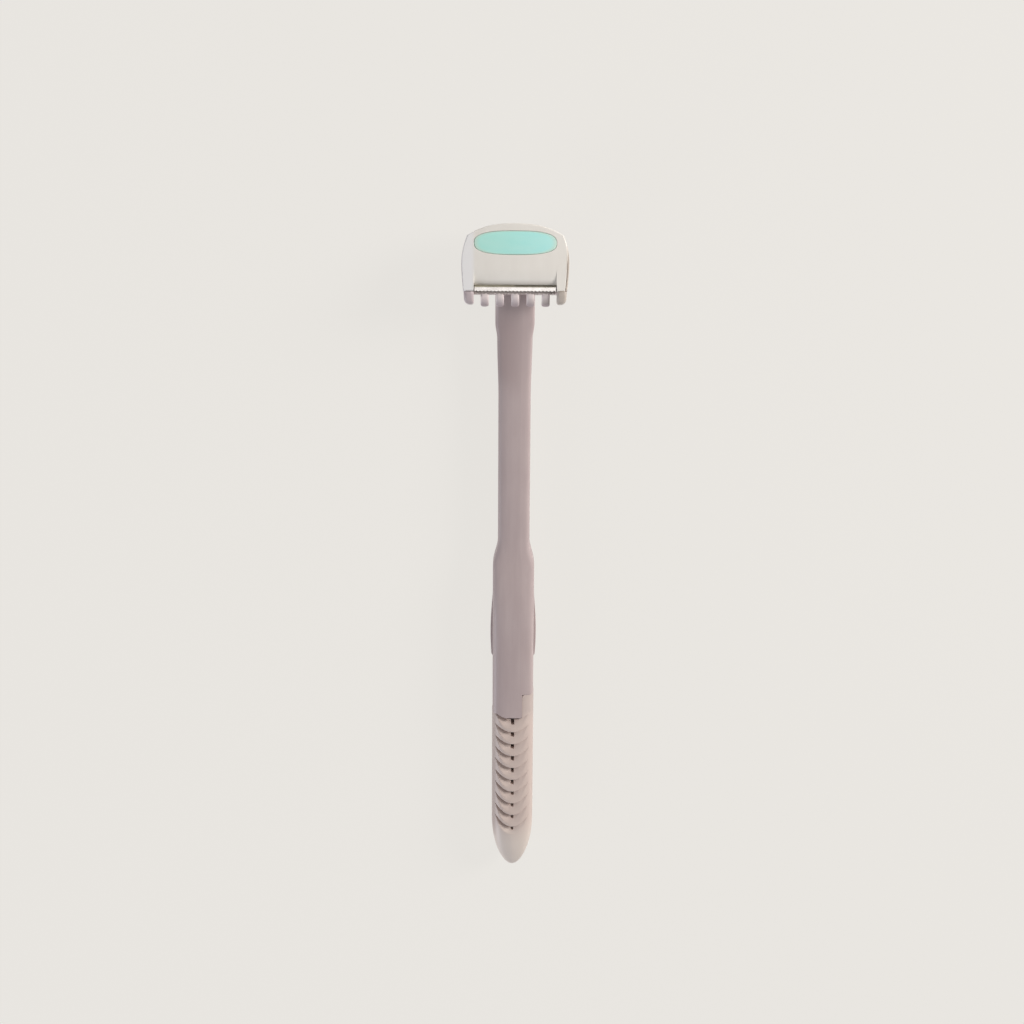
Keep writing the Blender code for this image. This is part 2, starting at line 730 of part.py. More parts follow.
def make_cover(head, place):
    half = HEAD_WIDTH / 2 - COVER_INSET
    side = bezier_side(half, HEAD_APEX - COVER_INSET, HEAD_SEAM, seam_half_width - COVER_INSET)
    mesh = rounded_slab("head_cover", mirrored(side), -COVER_THICKNESS, 0, round_high=COVER_ROUND)
    piece = add_piece("head_cover", mesh, white, head, place)
    roll = [(-LIP_ROLL_START, OVERRUN)]
    span = COVER_LIP - LIP_ROLL_START
    for i in range(ARC_STEPS + 1):
        angle = pi / 2 * i / ARC_STEPS
        drop = (LIP_ROLL_DEPTH + LIP_ROLL_RISE) * (1 - cos(angle))
        roll.append((-LIP_ROLL_START - span * sin(angle), LIP_ROLL_RISE - drop))
    roll += [(-COVER_LIP, -BASE_BACK), (-HEAD_SEAM - OVERRUN, -BASE_BACK), (-HEAD_SEAM - OVERRUN, OVERRUN)]
    roll_cut = prism("lip_roll_cut", roll, -horn_inner, horn_inner, side_view=True)
    boolean(piece, add_cutter("lip_roll_cut", roll_cut, head, place))

    low = (-horn_inner, -HEAD_SEAM - OVERRUN, -BASE_BACK)
    under = box("cover_under_cut", low, (horn_inner, TRAY_TOP, -COVER_ROOF))
    boolean(piece, add_cutter("cover_under_cut", under, head, place))

    gap = POCKET_SIDE_GAP
    pocket = superellipse(strip_half_width + gap, STRIP_HALF_HEIGHT + gap, strip_centre, STRIP_POWER)
    floor = STRIP_PROUD - STRIP_THICKNESS - POCKET_FLOOR_GAP
    pocket_cut = prism("strip_pocket_cut", pocket, floor, OVERRUN)
    boolean(piece, add_cutter("strip_pocket_cut", pocket_cut, head, place))

    outline = superellipse(strip_half_width, STRIP_HALF_HEIGHT, strip_centre, STRIP_POWER)
    strip_mesh = prism("lubricating_strip", outline, STRIP_PROUD - STRIP_THICKNESS, STRIP_PROUD)
    add_piece("lubricating_strip", strip_mesh, mint, head, place)


def make_comb_base(head, place):
    half = HEAD_WIDTH / 2
    side = bezier_side(half, HEAD_APEX, HEAD_SEAM, seam_half_width)
    top = -COVER_THICKNESS - SEAT_GAP
    mesh = rounded_slab("comb_base", mirrored(side), -BASE_BACK, top, round_low=BASE_ROUND)
    piece = add_piece("comb_base", mesh, white, head, place)

    low = (-horn_inner, -HEAD_SEAM - OVERRUN, -BASE_BACK + BASE_FLOOR)
    tray = box("tray_cut", low, (horn_inner, TRAY_TOP, 0))
    boolean(piece, add_cutter("tray_cut", tray, head, place))

    bar_back = GUARD_BAR_FRONT - GUARD_BAR_WIDTH
    bar_half = (horn_inner + horn_foot) / 2
    bar = [
        (-bar_back, -BASE_BACK), (-bar_back, -GUARD_BAR_DROP - GUARD_BAR_WIDTH / 2),
        (-bar_back - GUARD_BAR_WIDTH / 3, -GUARD_BAR_DROP), (-GUARD_BAR_FRONT, -GUARD_BAR_DROP),
        (-GUARD_BAR_FRONT, -BASE_BACK + BASE_ROUND), (-GUARD_BAR_FRONT + BASE_ROUND, -BASE_BACK),
    ]
    bar_mesh = prism("guard_bar", bar, -bar_half, bar_half, side_view=True)
    boolean(piece, add_cutter("guard_bar_form", bar_mesh, head, place), "UNION")

    for sign, word in ((-1, "left"), (1, "right")):
        horn = horn_outline(sign)
        mesh = prism("horn_" + word, horn, -BASE_BACK + BASE_ROUND, -HORN_TOP)
        boolean(piece, add_cutter("horn_%s_form" % word, mesh, head, place), "UNION")
        name = "cover_seat_%s_cut" % word
        near, far = sign * horn_inner, sign * (half + OVERRUN)
        low = (min(near, far), -HEAD_SEAM - SEAT_GAP, top)
        high = (max(near, far), HEAD_APEX + OVERRUN, OVERRUN)
        boolean(piece, add_cutter(name, box(name, low, high), head, place))

    tooth = tooth_profile()
    for i in range(TOOTH_COUNT):
        middle = TOOTH_PITCH * (i - (TOOTH_COUNT - 1) / 2)
        name = "tooth_form_%d" % (i + 1)
        mesh = prism(name, tooth, middle - TOOTH_WIDTH / 2, middle + TOOTH_WIDTH / 2, side_view=True)
        boolean(piece, add_cutter(name, mesh, head, place), "UNION")

    for sign, word in ((-1, "left"), (1, "right")):
        name = "saddle_hole_" + word
        low = -BASE_BACK - OVERRUN
        high = -BASE_BACK - SEAT_GAP + SADDLE_PEG_LENGTH
        hole = rod(name, SADDLE_PEG_RADIUS + BORE_GAP, low, high,
                   sign * SADDLE_PEG_OFFSET, SADDLE_PEG_OFFSET, "Z")
        boolean(piece, add_cutter(name, hole, head, place))


def horn_outline(sign):
    # outer side down to the rounded foot, then up the straight inner side
    start = -HEAD_SEAM + BASE_ROUND
    outer = seam_half_width
    curve = interpolate_bezier(
        Vector((outer, start, 0)),
        Vector((outer - COVER_INSET / 2, blend(start, -HORN_DROP, horn_handle_share), 0)),
        Vector((blend(horn_foot, outer, horn_handle_share), -HORN_DROP, 0)),
        Vector((horn_foot, -HORN_DROP, 0)),
        ARC_STEPS,
    )
    points = [(p.x, p.y) for p in curve]
    points += [(horn_inner + TOOTH_ROUND, -HORN_DROP), (horn_inner, -HORN_DROP + TOOTH_ROUND)]
    points += [(horn_inner, start)]
    return [(sign * x, y) for x, y in points]


def tooth_profile():
    # a finger from the guard bar whose upper face bends down towards a rounded tip
    root = GUARD_BAR_FRONT - GUARD_BAR_WIDTH / 2
    top = GUARD_BAR_DROP + TOOTH_ROUND
    radius = TOOTH_DEPTH / 2
    length = TOOTH_REACH - radius - GUARD_BAR_FRONT
    upper = []
    lower = []
    for i in range(ARC_STEPS + 1):
        share = i / ARC_STEPS
        y = -GUARD_BAR_FRONT - length * share
        drop = TOOTH_CURL * share * share
        upper.append((y, -top - drop))
        lower.append((y, -top - TOOTH_DEPTH - drop))
    tip = []
    for i in range(1, ARC_STEPS):
        angle = pi * i / ARC_STEPS
        tip.append((upper[-1][0] - radius * sin(angle), upper[-1][1] - radius + radius * cos(angle)))
    return [(-root, -top)] + upper + tip + lower[::-1] + [(-root, -top - TOOTH_DEPTH)]


def blade_frame_point(along, above):
    # along the blade from its edge, and above its upper face, as offsets in the head's own frame
    y = -BLADE_EDGE + along * cos(BLADE_ANGLE) + above * sin(BLADE_ANGLE)
    z = -BLADE_EDGE_DROP - along * sin(BLADE_ANGLE) + above * cos(BLADE_ANGLE)
    return y, z


def make_blade_stack(head, place):
    blade = [
        blade_frame_point(0, -BLADE_THICKNESS / 2), blade_frame_point(BLADE_BEVEL, 0),
        blade_frame_point(BLADE_LENGTH, 0), blade_frame_point(BLADE_LENGTH, -BLADE_THICKNESS),
        blade_frame_point(BLADE_BEVEL, -BLADE_THICKNESS),
    ]
    mesh = prism("main_blade", blade, -BLADE_HALF_WIDTH, BLADE_HALF_WIDTH, side_view=True)
    add_piece("main_blade", mesh, steel, head, place)

    floor = -BASE_BACK + BASE_FLOOR + STACK_GAP
    under = -BLADE_THICKNESS - STACK_GAP
    front = blade_frame_point(PLATFORM_SETBACK, under)
    back = blade_frame_point(PLATFORM_LENGTH, under)
    platform = [front, back, (back[0], floor), (front[0] + SEAT_GAP, floor), (front[0], front[1] - SEAT_GAP)]
    mesh = prism("blade_platform", platform, -BLADE_HALF_WIDTH, BLADE_HALF_WIDTH, side_view=True)
    add_piece("blade_platform", mesh, dark, head, place)

    make_guard_strip(head, place)


def make_guard_strip(head, place):
    # laid on the blade: drawn along the blade, then turned to its slope
    root = GUARD_TOOTH_DEPTH - GUARD_REACH
    outline = toothed_strip(BLADE_HALF_WIDTH, GUARD_LENGTH, root, -GUARD_REACH, GUARD_TOOTH_PITCH)
    mesh = prism("guard_strip", outline, STACK_GAP, STACK_GAP + GUARD_THICKNESS)
    edge = Matrix.Translation((0, -BLADE_EDGE, -BLADE_EDGE_DROP))
    mesh.transform(edge @ Matrix.Rotation(-BLADE_ANGLE, 4, "X"))
    add_piece("guard_strip", mesh, steel, head, place)

    fins = toothed_strip(fin_half_width, -FIN_BACK, FIN_DEPTH - FIN_FRONT, -FIN_FRONT, FIN_PITCH)
    fin_foot = STACK_GAP - GUARD_BAR_DROP
    add_piece("guard_fins", prism("guard_fins", fins, fin_foot, fin_foot + FIN_HEIGHT), rubber, head, place)


def make_saddle(head, place):
    top = -BASE_BACK - SEAT_GAP
    bottom = top - SADDLE_THICKNESS
    low = (-SADDLE_HALF_WIDTH, -SADDLE_HALF_LENGTH, bottom)
    high = (SADDLE_HALF_WIDTH, SADDLE_HALF_LENGTH + PIVOT_BELOW_CENTRE, top)
    piece = add_piece("pivot_saddle", box("pivot_saddle", low, high), dark, head, place)

    lug = [(-PIVOT_BELOW_CENTRE + LUG_RADIUS, top - SADDLE_THICKNESS / 2)]
    lug.append((-PIVOT_BELOW_CENTRE - LUG_RADIUS, top - SADDLE_THICKNESS / 2))
    for i in range(2 * ARC_STEPS + 1):
        angle = pi + pi * i / (2 * ARC_STEPS)
        lug.append((-PIVOT_BELOW_CENTRE + LUG_RADIUS * cos(angle), -pivot_depth + LUG_RADIUS * sin(angle)))
    mesh = prism("lug_form", lug, -LUG_HALF_WIDTH, LUG_HALF_WIDTH, side_view=True)
    boolean(piece, add_cutter("lug_form", mesh, head, place), "UNION")

    for sign, word in ((-1, "left"), (1, "right")):
        name = "saddle_peg_" + word
        peg = rod(name, SADDLE_PEG_RADIUS, top - SADDLE_THICKNESS / 2, top + SADDLE_PEG_LENGTH - SEAT_GAP,
                  sign * SADDLE_PEG_OFFSET, SADDLE_PEG_OFFSET, "Z", sides=PEG_SIDES)
        boolean(piece, add_cutter(name, peg, head, place), "UNION")
    bore = rod("lug_bore", PIN_RADIUS + BORE_GAP, -OVERRUN, OVERRUN, -PIVOT_BELOW_CENTRE, -pivot_depth)
    boolean(piece, add_cutter("lug_bore", bore, head, place))


def make_yoke(yoke):
    # own frame: origin on the pin, +Y along the neck
    half_depth = NECK_DEPTH / 2
    block_back = -YOKE_REACH / cos(NECK_ANGLE) + SEAT_GAP
    block_front = block_back + YOKE_BLOCK
    tang_half = half_depth - SHELL_WALL - SEAT_GAP
    tang_back = block_back - YOKE_TANG_LENGTH
    deep = half_depth + SEAT_GAP
    profile = [(tang_back, -tang_half), (block_back, -tang_half), (block_back, -deep), (block_front, -deep)]
    for i in range(ARC_STEPS + 1):
        angle = -pi / 2 + pi * i / ARC_STEPS
        profile.append((YOKE_END_RADIUS * cos(angle), YOKE_END_RADIUS * sin(angle)))
    profile += [(block_front, deep), (block_back, deep), (block_back, tang_half), (tang_back, tang_half)]
    wide = NECK_WIDTH / 2 + SEAT_GAP
    mesh = prism("neck_yoke", profile, -wide, wide, side_view=True)
    piece = add_piece("neck_yoke", mesh, mauve, yoke)
    ends = (tang_back - OVERRUN, YOKE_END_RADIUS + OVERRUN)
    rings = [full_ring(y, NECK_WIDTH / 2, half_depth, half_depth, 0.0) for y in ends]
    section = add_cutter("neck_section_form", loft("neck_section_form", rings, closed=True), yoke)
    boolean(piece, section, "INTERSECT")

    for sign, word in ((-1, "left"), (1, "right")):
        near = sign * YOKE_TANG_HALF_WIDTH
        far = sign * (NECK_WIDTH / 2 + OVERRUN)
        name = "tang_side_%s_cut" % word
        low = (min(near, far), tang_back - OVERRUN, -OVERRUN)
        high = (max(near, far), block_back, OVERRUN)
        boolean(piece, add_cutter(name, box(name, low, high), yoke))
    slot = box("yoke_slot_cut", (-YOKE_SLOT_HALF, block_front, -OVERRUN), (YOKE_SLOT_HALF, OVERRUN, OVERRUN))
    boolean(piece, add_cutter("yoke_slot_cut", slot, yoke))
    groove_low = (-YOKE_GROOVE_HALF, tang_back + SEAT_GAP, -OVERRUN)
    groove_high = (YOKE_GROOVE_HALF, block_front + OVERRUN, -YOKE_GROOVE_ROOF)
    boolean(piece, add_cutter("leaf_groove_cut", box("leaf_groove_cut", groove_low, groove_high), yoke))
    bore = rod("yoke_bore", PIN_RADIUS + BORE_GAP, -NECK_WIDTH, NECK_WIDTH)
    boolean(piece, add_cutter("yoke_bore", bore, yoke))

    pin = rod("pivot_pin", PIN_RADIUS, -PIN_HALF_LENGTH, PIN_HALF_LENGTH)
    add_piece("pivot_pin", pin, steel, yoke)
    make_leaf(yoke, tang_back, block_back)


def make_leaf(yoke, tang_back, block_back):
    # a strip along the groove, under the pin and up to the saddle, drawn through four places
    lean = HEAD_TILT + NECK_ANGLE
    tip_z = (PIVOT_CLEAR - LEAF_THICKNESS - LEAF_TIP_REACH * sin(lean)) / cos(lean)
    root = Vector((0, tang_back + 2 * SEAT_GAP, -LEAF_ROOT_DROP))
    heel = Vector((0, block_back - SEAT_GAP, -LEAF_ROOT_DROP))
    dip = Vector((0, 0, -LEAF_BELOW_PIVOT))
    tip = Vector((0, LEAF_TIP_REACH, tip_z))
    reach = Vector((0, YOKE_BLOCK, 0))
    path = [root, heel]
    path += interpolate_bezier(heel, heel + reach, dip - reach, dip, ARC_STEPS)[1:]
    path += interpolate_bezier(dip, dip + reach * 2, tip - reach, tip, ARC_STEPS)[1:]
    shape = bmesh.new()
    rows = []
    for point in path:
        left = shape.verts.new((-LEAF_HALF_WIDTH, point.y, point.z))
        right = shape.verts.new((LEAF_HALF_WIDTH, point.y, point.z))
        rows.append((left, right))
    for back, front in zip(rows, rows[1:]):
        shape.faces.new((back[0], back[1], front[1], front[0]))
    piece = add_piece("return_leaf", to_mesh("return_leaf", shape), steel, yoke)
    wall = piece.modifiers.new("Wall", "SOLIDIFY")
    wall.thickness = LEAF_THICKNESS
    wall.offset = 0


clear_scene()
parts = make_collection("precision_trimmer")
cutters = make_collection("cutters")

mauve = make_material("mauve_plastic", (0.42, 0.34, 0.34), 0.45)
beige = make_material("beige_plastic", (0.61, 0.50, 0.47), 0.50)
white = make_material("white_plastic", (0.80, 0.77, 0.72), 0.40)
dark = make_material("grey_plastic", (0.30, 0.28, 0.28), 0.50)
rubber = make_material("soft_grey_rubber", (0.16, 0.15, 0.15), 0.80)
mint = make_material("mint_strip", (0.42, 0.78, 0.70), 0.60)
steel = make_material("brushed_steel", (0.75, 0.74, 0.72), 0.25, 1.0)

yoke_frame = add_empty("yoke_frame", (0, pivot_y, pivot_z), NECK_ANGLE)
head_frame = add_empty("head_frame", (0, pivot_y, pivot_z), -HEAD_TILT)
cap_frame = add_empty("cap_frame", (0, mouth_y, CAP_DEPTH / 2))
face_place = (0, PIVOT_BELOW_CENTRE, pivot_depth)

make_shells()
make_yoke(yoke_frame)
make_detail_blade()
make_comb_base(head_frame, face_place)
make_saddle(head_frame, face_place)
make_blade_stack(head_frame, face_place)
make_cover(head_frame, face_place)
make_cap(cap_frame)
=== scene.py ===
import bpy
import bmesh
import numpy as np
from math import cos, pi, radians, sin
from mathutils import Matrix, Vector


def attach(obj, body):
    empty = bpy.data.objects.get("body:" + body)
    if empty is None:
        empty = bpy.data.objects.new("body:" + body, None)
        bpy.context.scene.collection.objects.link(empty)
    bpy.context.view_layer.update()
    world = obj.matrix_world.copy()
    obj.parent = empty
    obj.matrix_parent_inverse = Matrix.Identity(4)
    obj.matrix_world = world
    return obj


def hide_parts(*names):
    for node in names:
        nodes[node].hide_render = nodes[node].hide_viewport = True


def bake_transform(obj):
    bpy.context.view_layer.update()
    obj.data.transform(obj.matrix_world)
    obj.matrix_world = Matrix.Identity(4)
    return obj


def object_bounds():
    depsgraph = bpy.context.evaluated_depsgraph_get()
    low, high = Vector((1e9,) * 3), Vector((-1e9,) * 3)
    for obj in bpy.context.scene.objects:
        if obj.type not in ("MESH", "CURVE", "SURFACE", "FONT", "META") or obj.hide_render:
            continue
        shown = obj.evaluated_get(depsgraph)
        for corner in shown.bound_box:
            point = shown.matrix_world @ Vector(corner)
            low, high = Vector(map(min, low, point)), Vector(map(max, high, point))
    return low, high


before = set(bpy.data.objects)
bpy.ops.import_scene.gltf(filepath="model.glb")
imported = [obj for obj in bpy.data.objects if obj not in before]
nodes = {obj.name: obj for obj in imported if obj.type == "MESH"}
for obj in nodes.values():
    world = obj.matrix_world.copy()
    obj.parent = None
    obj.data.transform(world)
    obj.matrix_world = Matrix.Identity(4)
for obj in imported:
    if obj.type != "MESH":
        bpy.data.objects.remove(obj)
cadLow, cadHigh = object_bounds()
print("frame loaded,", len(nodes), "nodes")

mm = 0.001  # the sizes below are in millimetres, unless a note says otherwise
far = 10.0  # farther from an edge than any rounding reaches
hair = 0.001  # places closer than this count as the same
meshing = dict(
    weld=0.0000002,  # metres within which points are joined
    shortest=0.00001, shadeAngle=radians(32), flatAngle=radians(0.5),
)


# Shapes as whole arrays

def ease(value, start, end):
    # a soft S from 0 at start to 1 at end: three squares less two cubes of the share of the way
    share = np.clip((value - start) / (end - start), 0.0, 1.0)
    return share * share * (3 - 2 * share)


def mix(first, last, share):
    # the first, plus a share of the way to the last
    return first + (last - first) * share


def roundOff(distance, radius):
    # drop of a rounded edge at a distance inside it: radius less the height of a quarter circle
    inside = np.clip(radius - distance, 0.0, radius)
    return radius - np.sqrt(radius * radius - inside * inside)


def around(count):
    # angles of a full turn
    return np.linspace(0, 2 * pi, count, endpoint=False)


def superEllipse(angle, wide, deep, power):
    # cosine and sine with their signs kept and their sizes raised to 2 / power
    across, up = np.cos(angle), np.sin(angle)
    return (wide * np.sign(across) * np.abs(across) ** (2 / power),
            deep * np.sign(up) * np.abs(up) ** (2 / power))


def softMax(value, floor, blur):
    # the larger of two, with a soft bend: half the excess plus the root of its square and the blur's
    over = value - floor
    return floor + (over + np.sqrt(over * over + blur * blur)) / 2


def turned(along, above, angle):
    # a pair of coordinates turned by an angle
    return along * cos(angle) + above * sin(angle), above * cos(angle) - along * sin(angle)


def cellCorners(rows, cols, wrap):
    # numbers of the four corners of every cell of a grid; wrap closes it round its columns
    r = np.arange(rows - 1)[:, None]
    c = np.arange(cols if wrap else cols - 1)[None, :]
    after = (c + 1) % cols
    return np.stack([r * cols + c, r * cols + after, (r + 1) * cols + after, (r + 1) * cols + c], -1)


def shellFaces(rows, cols, keep, wrap):
    # kept cells of the outer skin, the same turned round on the inner one, and walls where kept cells end
    cells = cellCorners(rows, cols, wrap)
    high, wide = keep.shape
    count = rows * cols
    faces = [cells[keep], cells[keep][:, ::-1] + count]
    framed = np.pad(keep, 1)
    if wrap:
        framed[1:-1, 0], framed[1:-1, -1] = keep[:, -1], keep[:, 0]
    for down, right, start, end in ((-1, 0, 0, 1), (0, 1, 1, 2), (1, 0, 2, 3), (0, -1, 3, 0)):
        rim = keep & ~framed[1 + down:1 + down + high, 1 + right:1 + right + wide]
        a, b = cells[..., start][rim], cells[..., end][rim]
        faces.append(np.stack([b, a, a + count, b + count], -1))
    return np.concatenate(faces)


def outward(points, faces):
    # the sum of the signed volumes under the faces tells inside from outside
    a, b, c, d = [points[faces[:, i]] for i in range(4)]
    volume = (np.cross(a, b) * c).sum() + (np.cross(a, c) * d).sum()
    return faces if volume > 0 else faces[:, ::-1]


def closedGrid(grid):
    # a tube of rings whose two ends are drawn to the middle of their last ring
    first = np.broadcast_to(grid[:1].mean(1, keepdims=True), grid[:1].shape)
    last = np.broadcast_to(grid[-1:].mean(1, keepdims=True), grid[-1:].shape)
    grid = np.concatenate([first, grid, last])
    points = grid.reshape(-1, 3)
    return points, outward(points, cellCorners(*grid.shape[:2], True).reshape(-1, 4))


def finishedMesh(name, source, clearFlats):
    # points joined, flats cleared where asked, faces smooth, edges sharp past an angle
    shape = bmesh.new()
    shape.from_mesh(source)
    bmesh.ops.remove_doubles(shape, verts=shape.verts, dist=meshing["weld"])
    if clearFlats:
        bmesh.ops.dissolve_limit(shape, angle_limit=meshing["flatAngle"], verts=shape.verts, edges=shape.edges)
    mesh = bpy.data.meshes.new(name)
    shape.to_mesh(mesh)
    shape.free()
    mesh.shade_smooth()
    mesh.set_sharp_from_angle(angle=meshing["shadeAngle"])
    return mesh


def setAll(thing, settings):
    # each setting goes to the field of its name
    for key, value in settings.items():
        setattr(thing, key, value)


def addObject(name, data):
    added = bpy.data.objects.new(name, data)
    bpy.context.scene.collection.objects.link(added)
    return added


def addPiece(name, mesh, look, body, replaced, slot):
    mesh.materials.clear()
    mesh.materials.append(look)
    piece = addObject(name, mesh)
    if body:
        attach(piece, body)
    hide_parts(*replaced)
    return piece


def makePiece(name, points, faces, *dress):
    # points in millimetres; cells shrunk to a line are left out; dress is what addPiece takes after the mesh
    corners = points[faces]
    size = sum(np.linalg.norm(corners[:, i] - corners[:, i + 1], axis=1) for i in (0, 2))
    raw = bpy.data.meshes.new("raw")
    raw.from_pydata(points * mm, [], outward(points, faces[size > meshing["shortest"]]))
    addPiece(name, finishedMesh(name, raw, False), *dress)
    bpy.data.meshes.remove(raw)


def shellPiece(name, outer, inner, keep, wrap, *dress):
    # two skins over one grid, joined along the edges of the kept cells
    points = np.concatenate([outer.reshape(-1, 3), inner.reshape(-1, 3)])
    makePiece(name, points, shellFaces(*outer.shape[:2], keep, wrap), *dress)


def refinedCopy(name, node, look, body, slot):
    # the CAD solid, joined and cleared
    return addPiece(name, finishedMesh(name, nodes[node].data, True), look, body, [node], slot)


# Shader maths as sums of sockets

class Wire:
    # a socket; Python's operators on it add Math nodes
    def __init__(self, tree, socket):
        self.tree, self.socket = tree, socket

    def math(self, operation, *values):
        node = self.tree.nodes.new("ShaderNodeMath")
        node.operation = operation
        for slot, value in zip(node.inputs, values):
            plug(self.tree, slot, value)
        return Wire(self.tree, node.outputs[0])

    def __add__(self, other):
        return self.math("ADD", self, other)

    def __sub__(self, other):
        return self.math("SUBTRACT", self, other)

    def __rsub__(self, other):
        return self.math("SUBTRACT", other, self)

    def __mul__(self, other):
        return self.math("MULTIPLY", self, other)

    def __truediv__(self, other):
        return self.math("DIVIDE", self, other)

    def __pow__(self, other):
        return self.math("POWER", self, other)

    def __abs__(self):
        return self.math("ABSOLUTE", self)

    __radd__ = __add__
    __rmul__ = __mul__


def plug(tree, slot, value):
    # a wire is linked; a colour gets its alpha of 1; any other value is set as it is
    if isinstance(value, Wire):
        tree.links.new(value.socket, slot)
    elif hasattr(slot.default_value, "__len__") and len(slot.default_value) == 4:
        slot.default_value = (*value, 1.0)
    else:
        slot.default_value = value


class Look:
    # one material: its nodes come from make(), its shader from shade()
    def __init__(self, name):
        self.material = bpy.data.materials.new(name)
        self.material.use_nodes = True
        self.tree = self.material.node_tree
        self.tree.nodes.clear()
        self.place = self.make("TexCoord", {}, {}, "Object")
        parts = self.tree.nodes.new("ShaderNodeSeparateXYZ")
        self.tree.links.new(self.place.socket, parts.inputs[0])
        self.x, self.y, self.z = [Wire(self.tree, out) for out in parts.outputs]

    def make(self, kind, settings, sockets, output=0):
        # any node: its settings first, then the values or wires of its sockets
        node = self.tree.nodes.new("ShaderNode" + kind)
        for key, value in settings.items():
            if key == "stops":
                setStops(node.color_ramp, value)
            else:
                setattr(node, key, value)
        for key, value in sockets.items():
            plug(self.tree, node.inputs[key], value)
        return Wire(self.tree, node.outputs[output])

    def noise(self, scale, stretch=(1, 1, 1), detail=2.0, rough=0.5):
        place = self.make("Mapping", {}, {"Vector": self.place, "Scale": stretch})
        return self.make("TexNoise", {}, {
            "Vector": place, "Scale": scale, "Detail": detail, "Roughness": rough})

    def ramp(self, value, stops):
        return self.make("ValToRGB", {"stops": stops}, {"Fac": value})

    def between(self, value, start, end):
        # 0 at start and 1 at end, a soft S between them
        return self.make("MapRange", {"interpolation_type": "SMOOTHSTEP"}, {
            "Value": value, "From Min": start, "From Max": end})

    def blend(self, share, first, last):
        # the colour sockets of a Mix node have the numbers 6 and 7, its result 2
        return self.make("Mix", {"data_type": "RGBA"}, {0: share, 6: first, 7: last}, 2)

    def bump(self, height, depth):
        return self.make("Bump", {}, {"Height": height, "Distance": depth})

    def shade(self, **sockets):
        return self.finish(self.make("BsdfPrincipled", {}, {
            key.replace("_", " "): value for key, value in sockets.items()}))

    def finish(self, shader):
        end = self.tree.nodes.new("ShaderNodeOutputMaterial")
        self.tree.links.new(shader.socket, end.inputs["Surface"])
        return self.material


def setStops(ramp, stops):
    while len(ramp.elements) < len(stops):
        ramp.elements.new(1.0)
    for element, (place, colour) in zip(ramp.elements, stops):
        element.position = place
        element.color = (*fromScreen(*colour), 1.0)


def fromScreen(red, green, blue):
    # a colour as a screen shows it, turned linear by the screen's own curve: a straight foot, then a power
    share = np.array([red, green, blue]) / 255
    linear = np.where(share <= 0.04045, share / 12.92, ((share + 0.055) / 1.055) ** 2.4)
    return tuple(float(value) for value in linear)


# Finishes

# the head's own frame has x across, t towards the apex and n out of the face
pivot = dict(y=63.8982, z=5.8133, along=1.0, above=8.0, tilt=radians(20))
middle = 0.5  # what a noise is on average


def placeOf(look, axis):
    # x or y of the object, off: distance from its middle plane, or t: y and z turned by the head's tilt
    if axis == "t":
        return ((look.y - pivot["y"] * mm) * cos(pivot["tilt"])
                - (look.z - pivot["z"] * mm) * sin(pivot["tilt"]) - pivot["along"] * mm)
    return {"x": look.x, "y": look.y, "off": abs(look.x)}[axis]


def mouldedPlastic(name, s):
    # clouds and long streaks shift the colour between dark and light, a fine grain the gloss and the height
    look = Look(name)
    cloud = look.noise(s["cloudScale"], s["cloudStretch"], detail=3.0)
    streak = look.noise(s["streakScale"], s["streakStretch"])
    grain = look.noise(s["grainScale"], detail=3.0, rough=0.6)
    tone = (cloud - middle) * s["cloudDepth"] + (streak - middle) * s["streakDepth"] + middle
    colour = look.ramp(tone, [(0.0, s["dark"]), (0.5, s["colour"]), (1.0, s["light"])])
    for tint, edges in s["tints"]:
        # a tint is full where each of its places is past the second of its two edges; most tints below are painted
        # light and shade
        share = 1.0
        for axis, start, end in edges:
            share = look.between(placeOf(look, axis), start * mm, end * mm) * share
        colour = look.blend(share, colour, fromScreen(*tint))
    spread = s["roughSpread"]
    rough = s["rough"] + (cloud - middle) * spread + (grain - middle) * spread
    normal = look.bump(grain, s["grainDepth"] * mm)
    return look.shade(Base_Color=colour, Roughness=rough, Normal=normal, IOR=s["ior"])


plastic = dict(
    tints=[], cloudScale=500, cloudStretch=(1, 0.35, 1), cloudDepth=0.7,
    streakScale=1500, streakStretch=(1, 0.04, 1), streakDepth=0.3,
    grainScale=9000, grainDepth=0.006, rough=0.50, roughSpread=0.12, ior=1.46,
)
mauve = dict(
    plastic, colour=(185, 169, 168), dark=(173, 156, 156), light=(196, 181, 179),
    # painted shade: the top of the shaft, left of its middle, darker below the head, where the head's shadow falls
    tints=[((172, 155, 154), [("y", 36, 44), ("y", 58, 52), ("x", 4.0, -2.0)])],
    cloudScale=260, streakScale=900, streakDepth=0.5, grainScale=7000, rough=0.42,
)
beige = dict(
    plastic, colour=(205, 188, 180), dark=(193, 174, 168), light=(216, 201, 192),
    # the first tint is painted light: the nose paler towards its tip, as if lit from the front
    tints=[((222, 210, 201), [("y", -60, -69)]), ((192, 177, 171), [("y", -37.5, -34.5)]),
           # painted shade: the cap's left side darker, away from the key light, fading out towards the tip
           ((190, 175, 169), [("x", -3.0, -4.2), ("y", -68, -62)])],
    cloudScale=240, streakScale=900, streakDepth=0.4, grainScale=7000, rough=0.45,
)
white = dict(
    plastic, colour=(236, 232, 225), dark=(229, 224, 217), light=(242, 239, 233),
    # painted light and shade: the cover's left end lighter and cooler, as lit from the left, and its lower right rim
    # darker, as an edge in shade
    tints=[((241, 240, 240), [("x", -8.0, -9.0)]), ((196, 187, 178), [("x", 10.2, 10.5), ("y", 73, 66)]),
           # painted shade: the rolled lip between the end bands darker towards its edge, where it turns down into
           # shade
           ((206, 201, 192), [("off", 8.5, 8.3), ("t", -3.0, -4.2)])],
    cloudScale=420, cloudDepth=0.6, streakScale=1200, streakDepth=0.2, grainDepth=0.004,
    roughSpread=0.10,
)
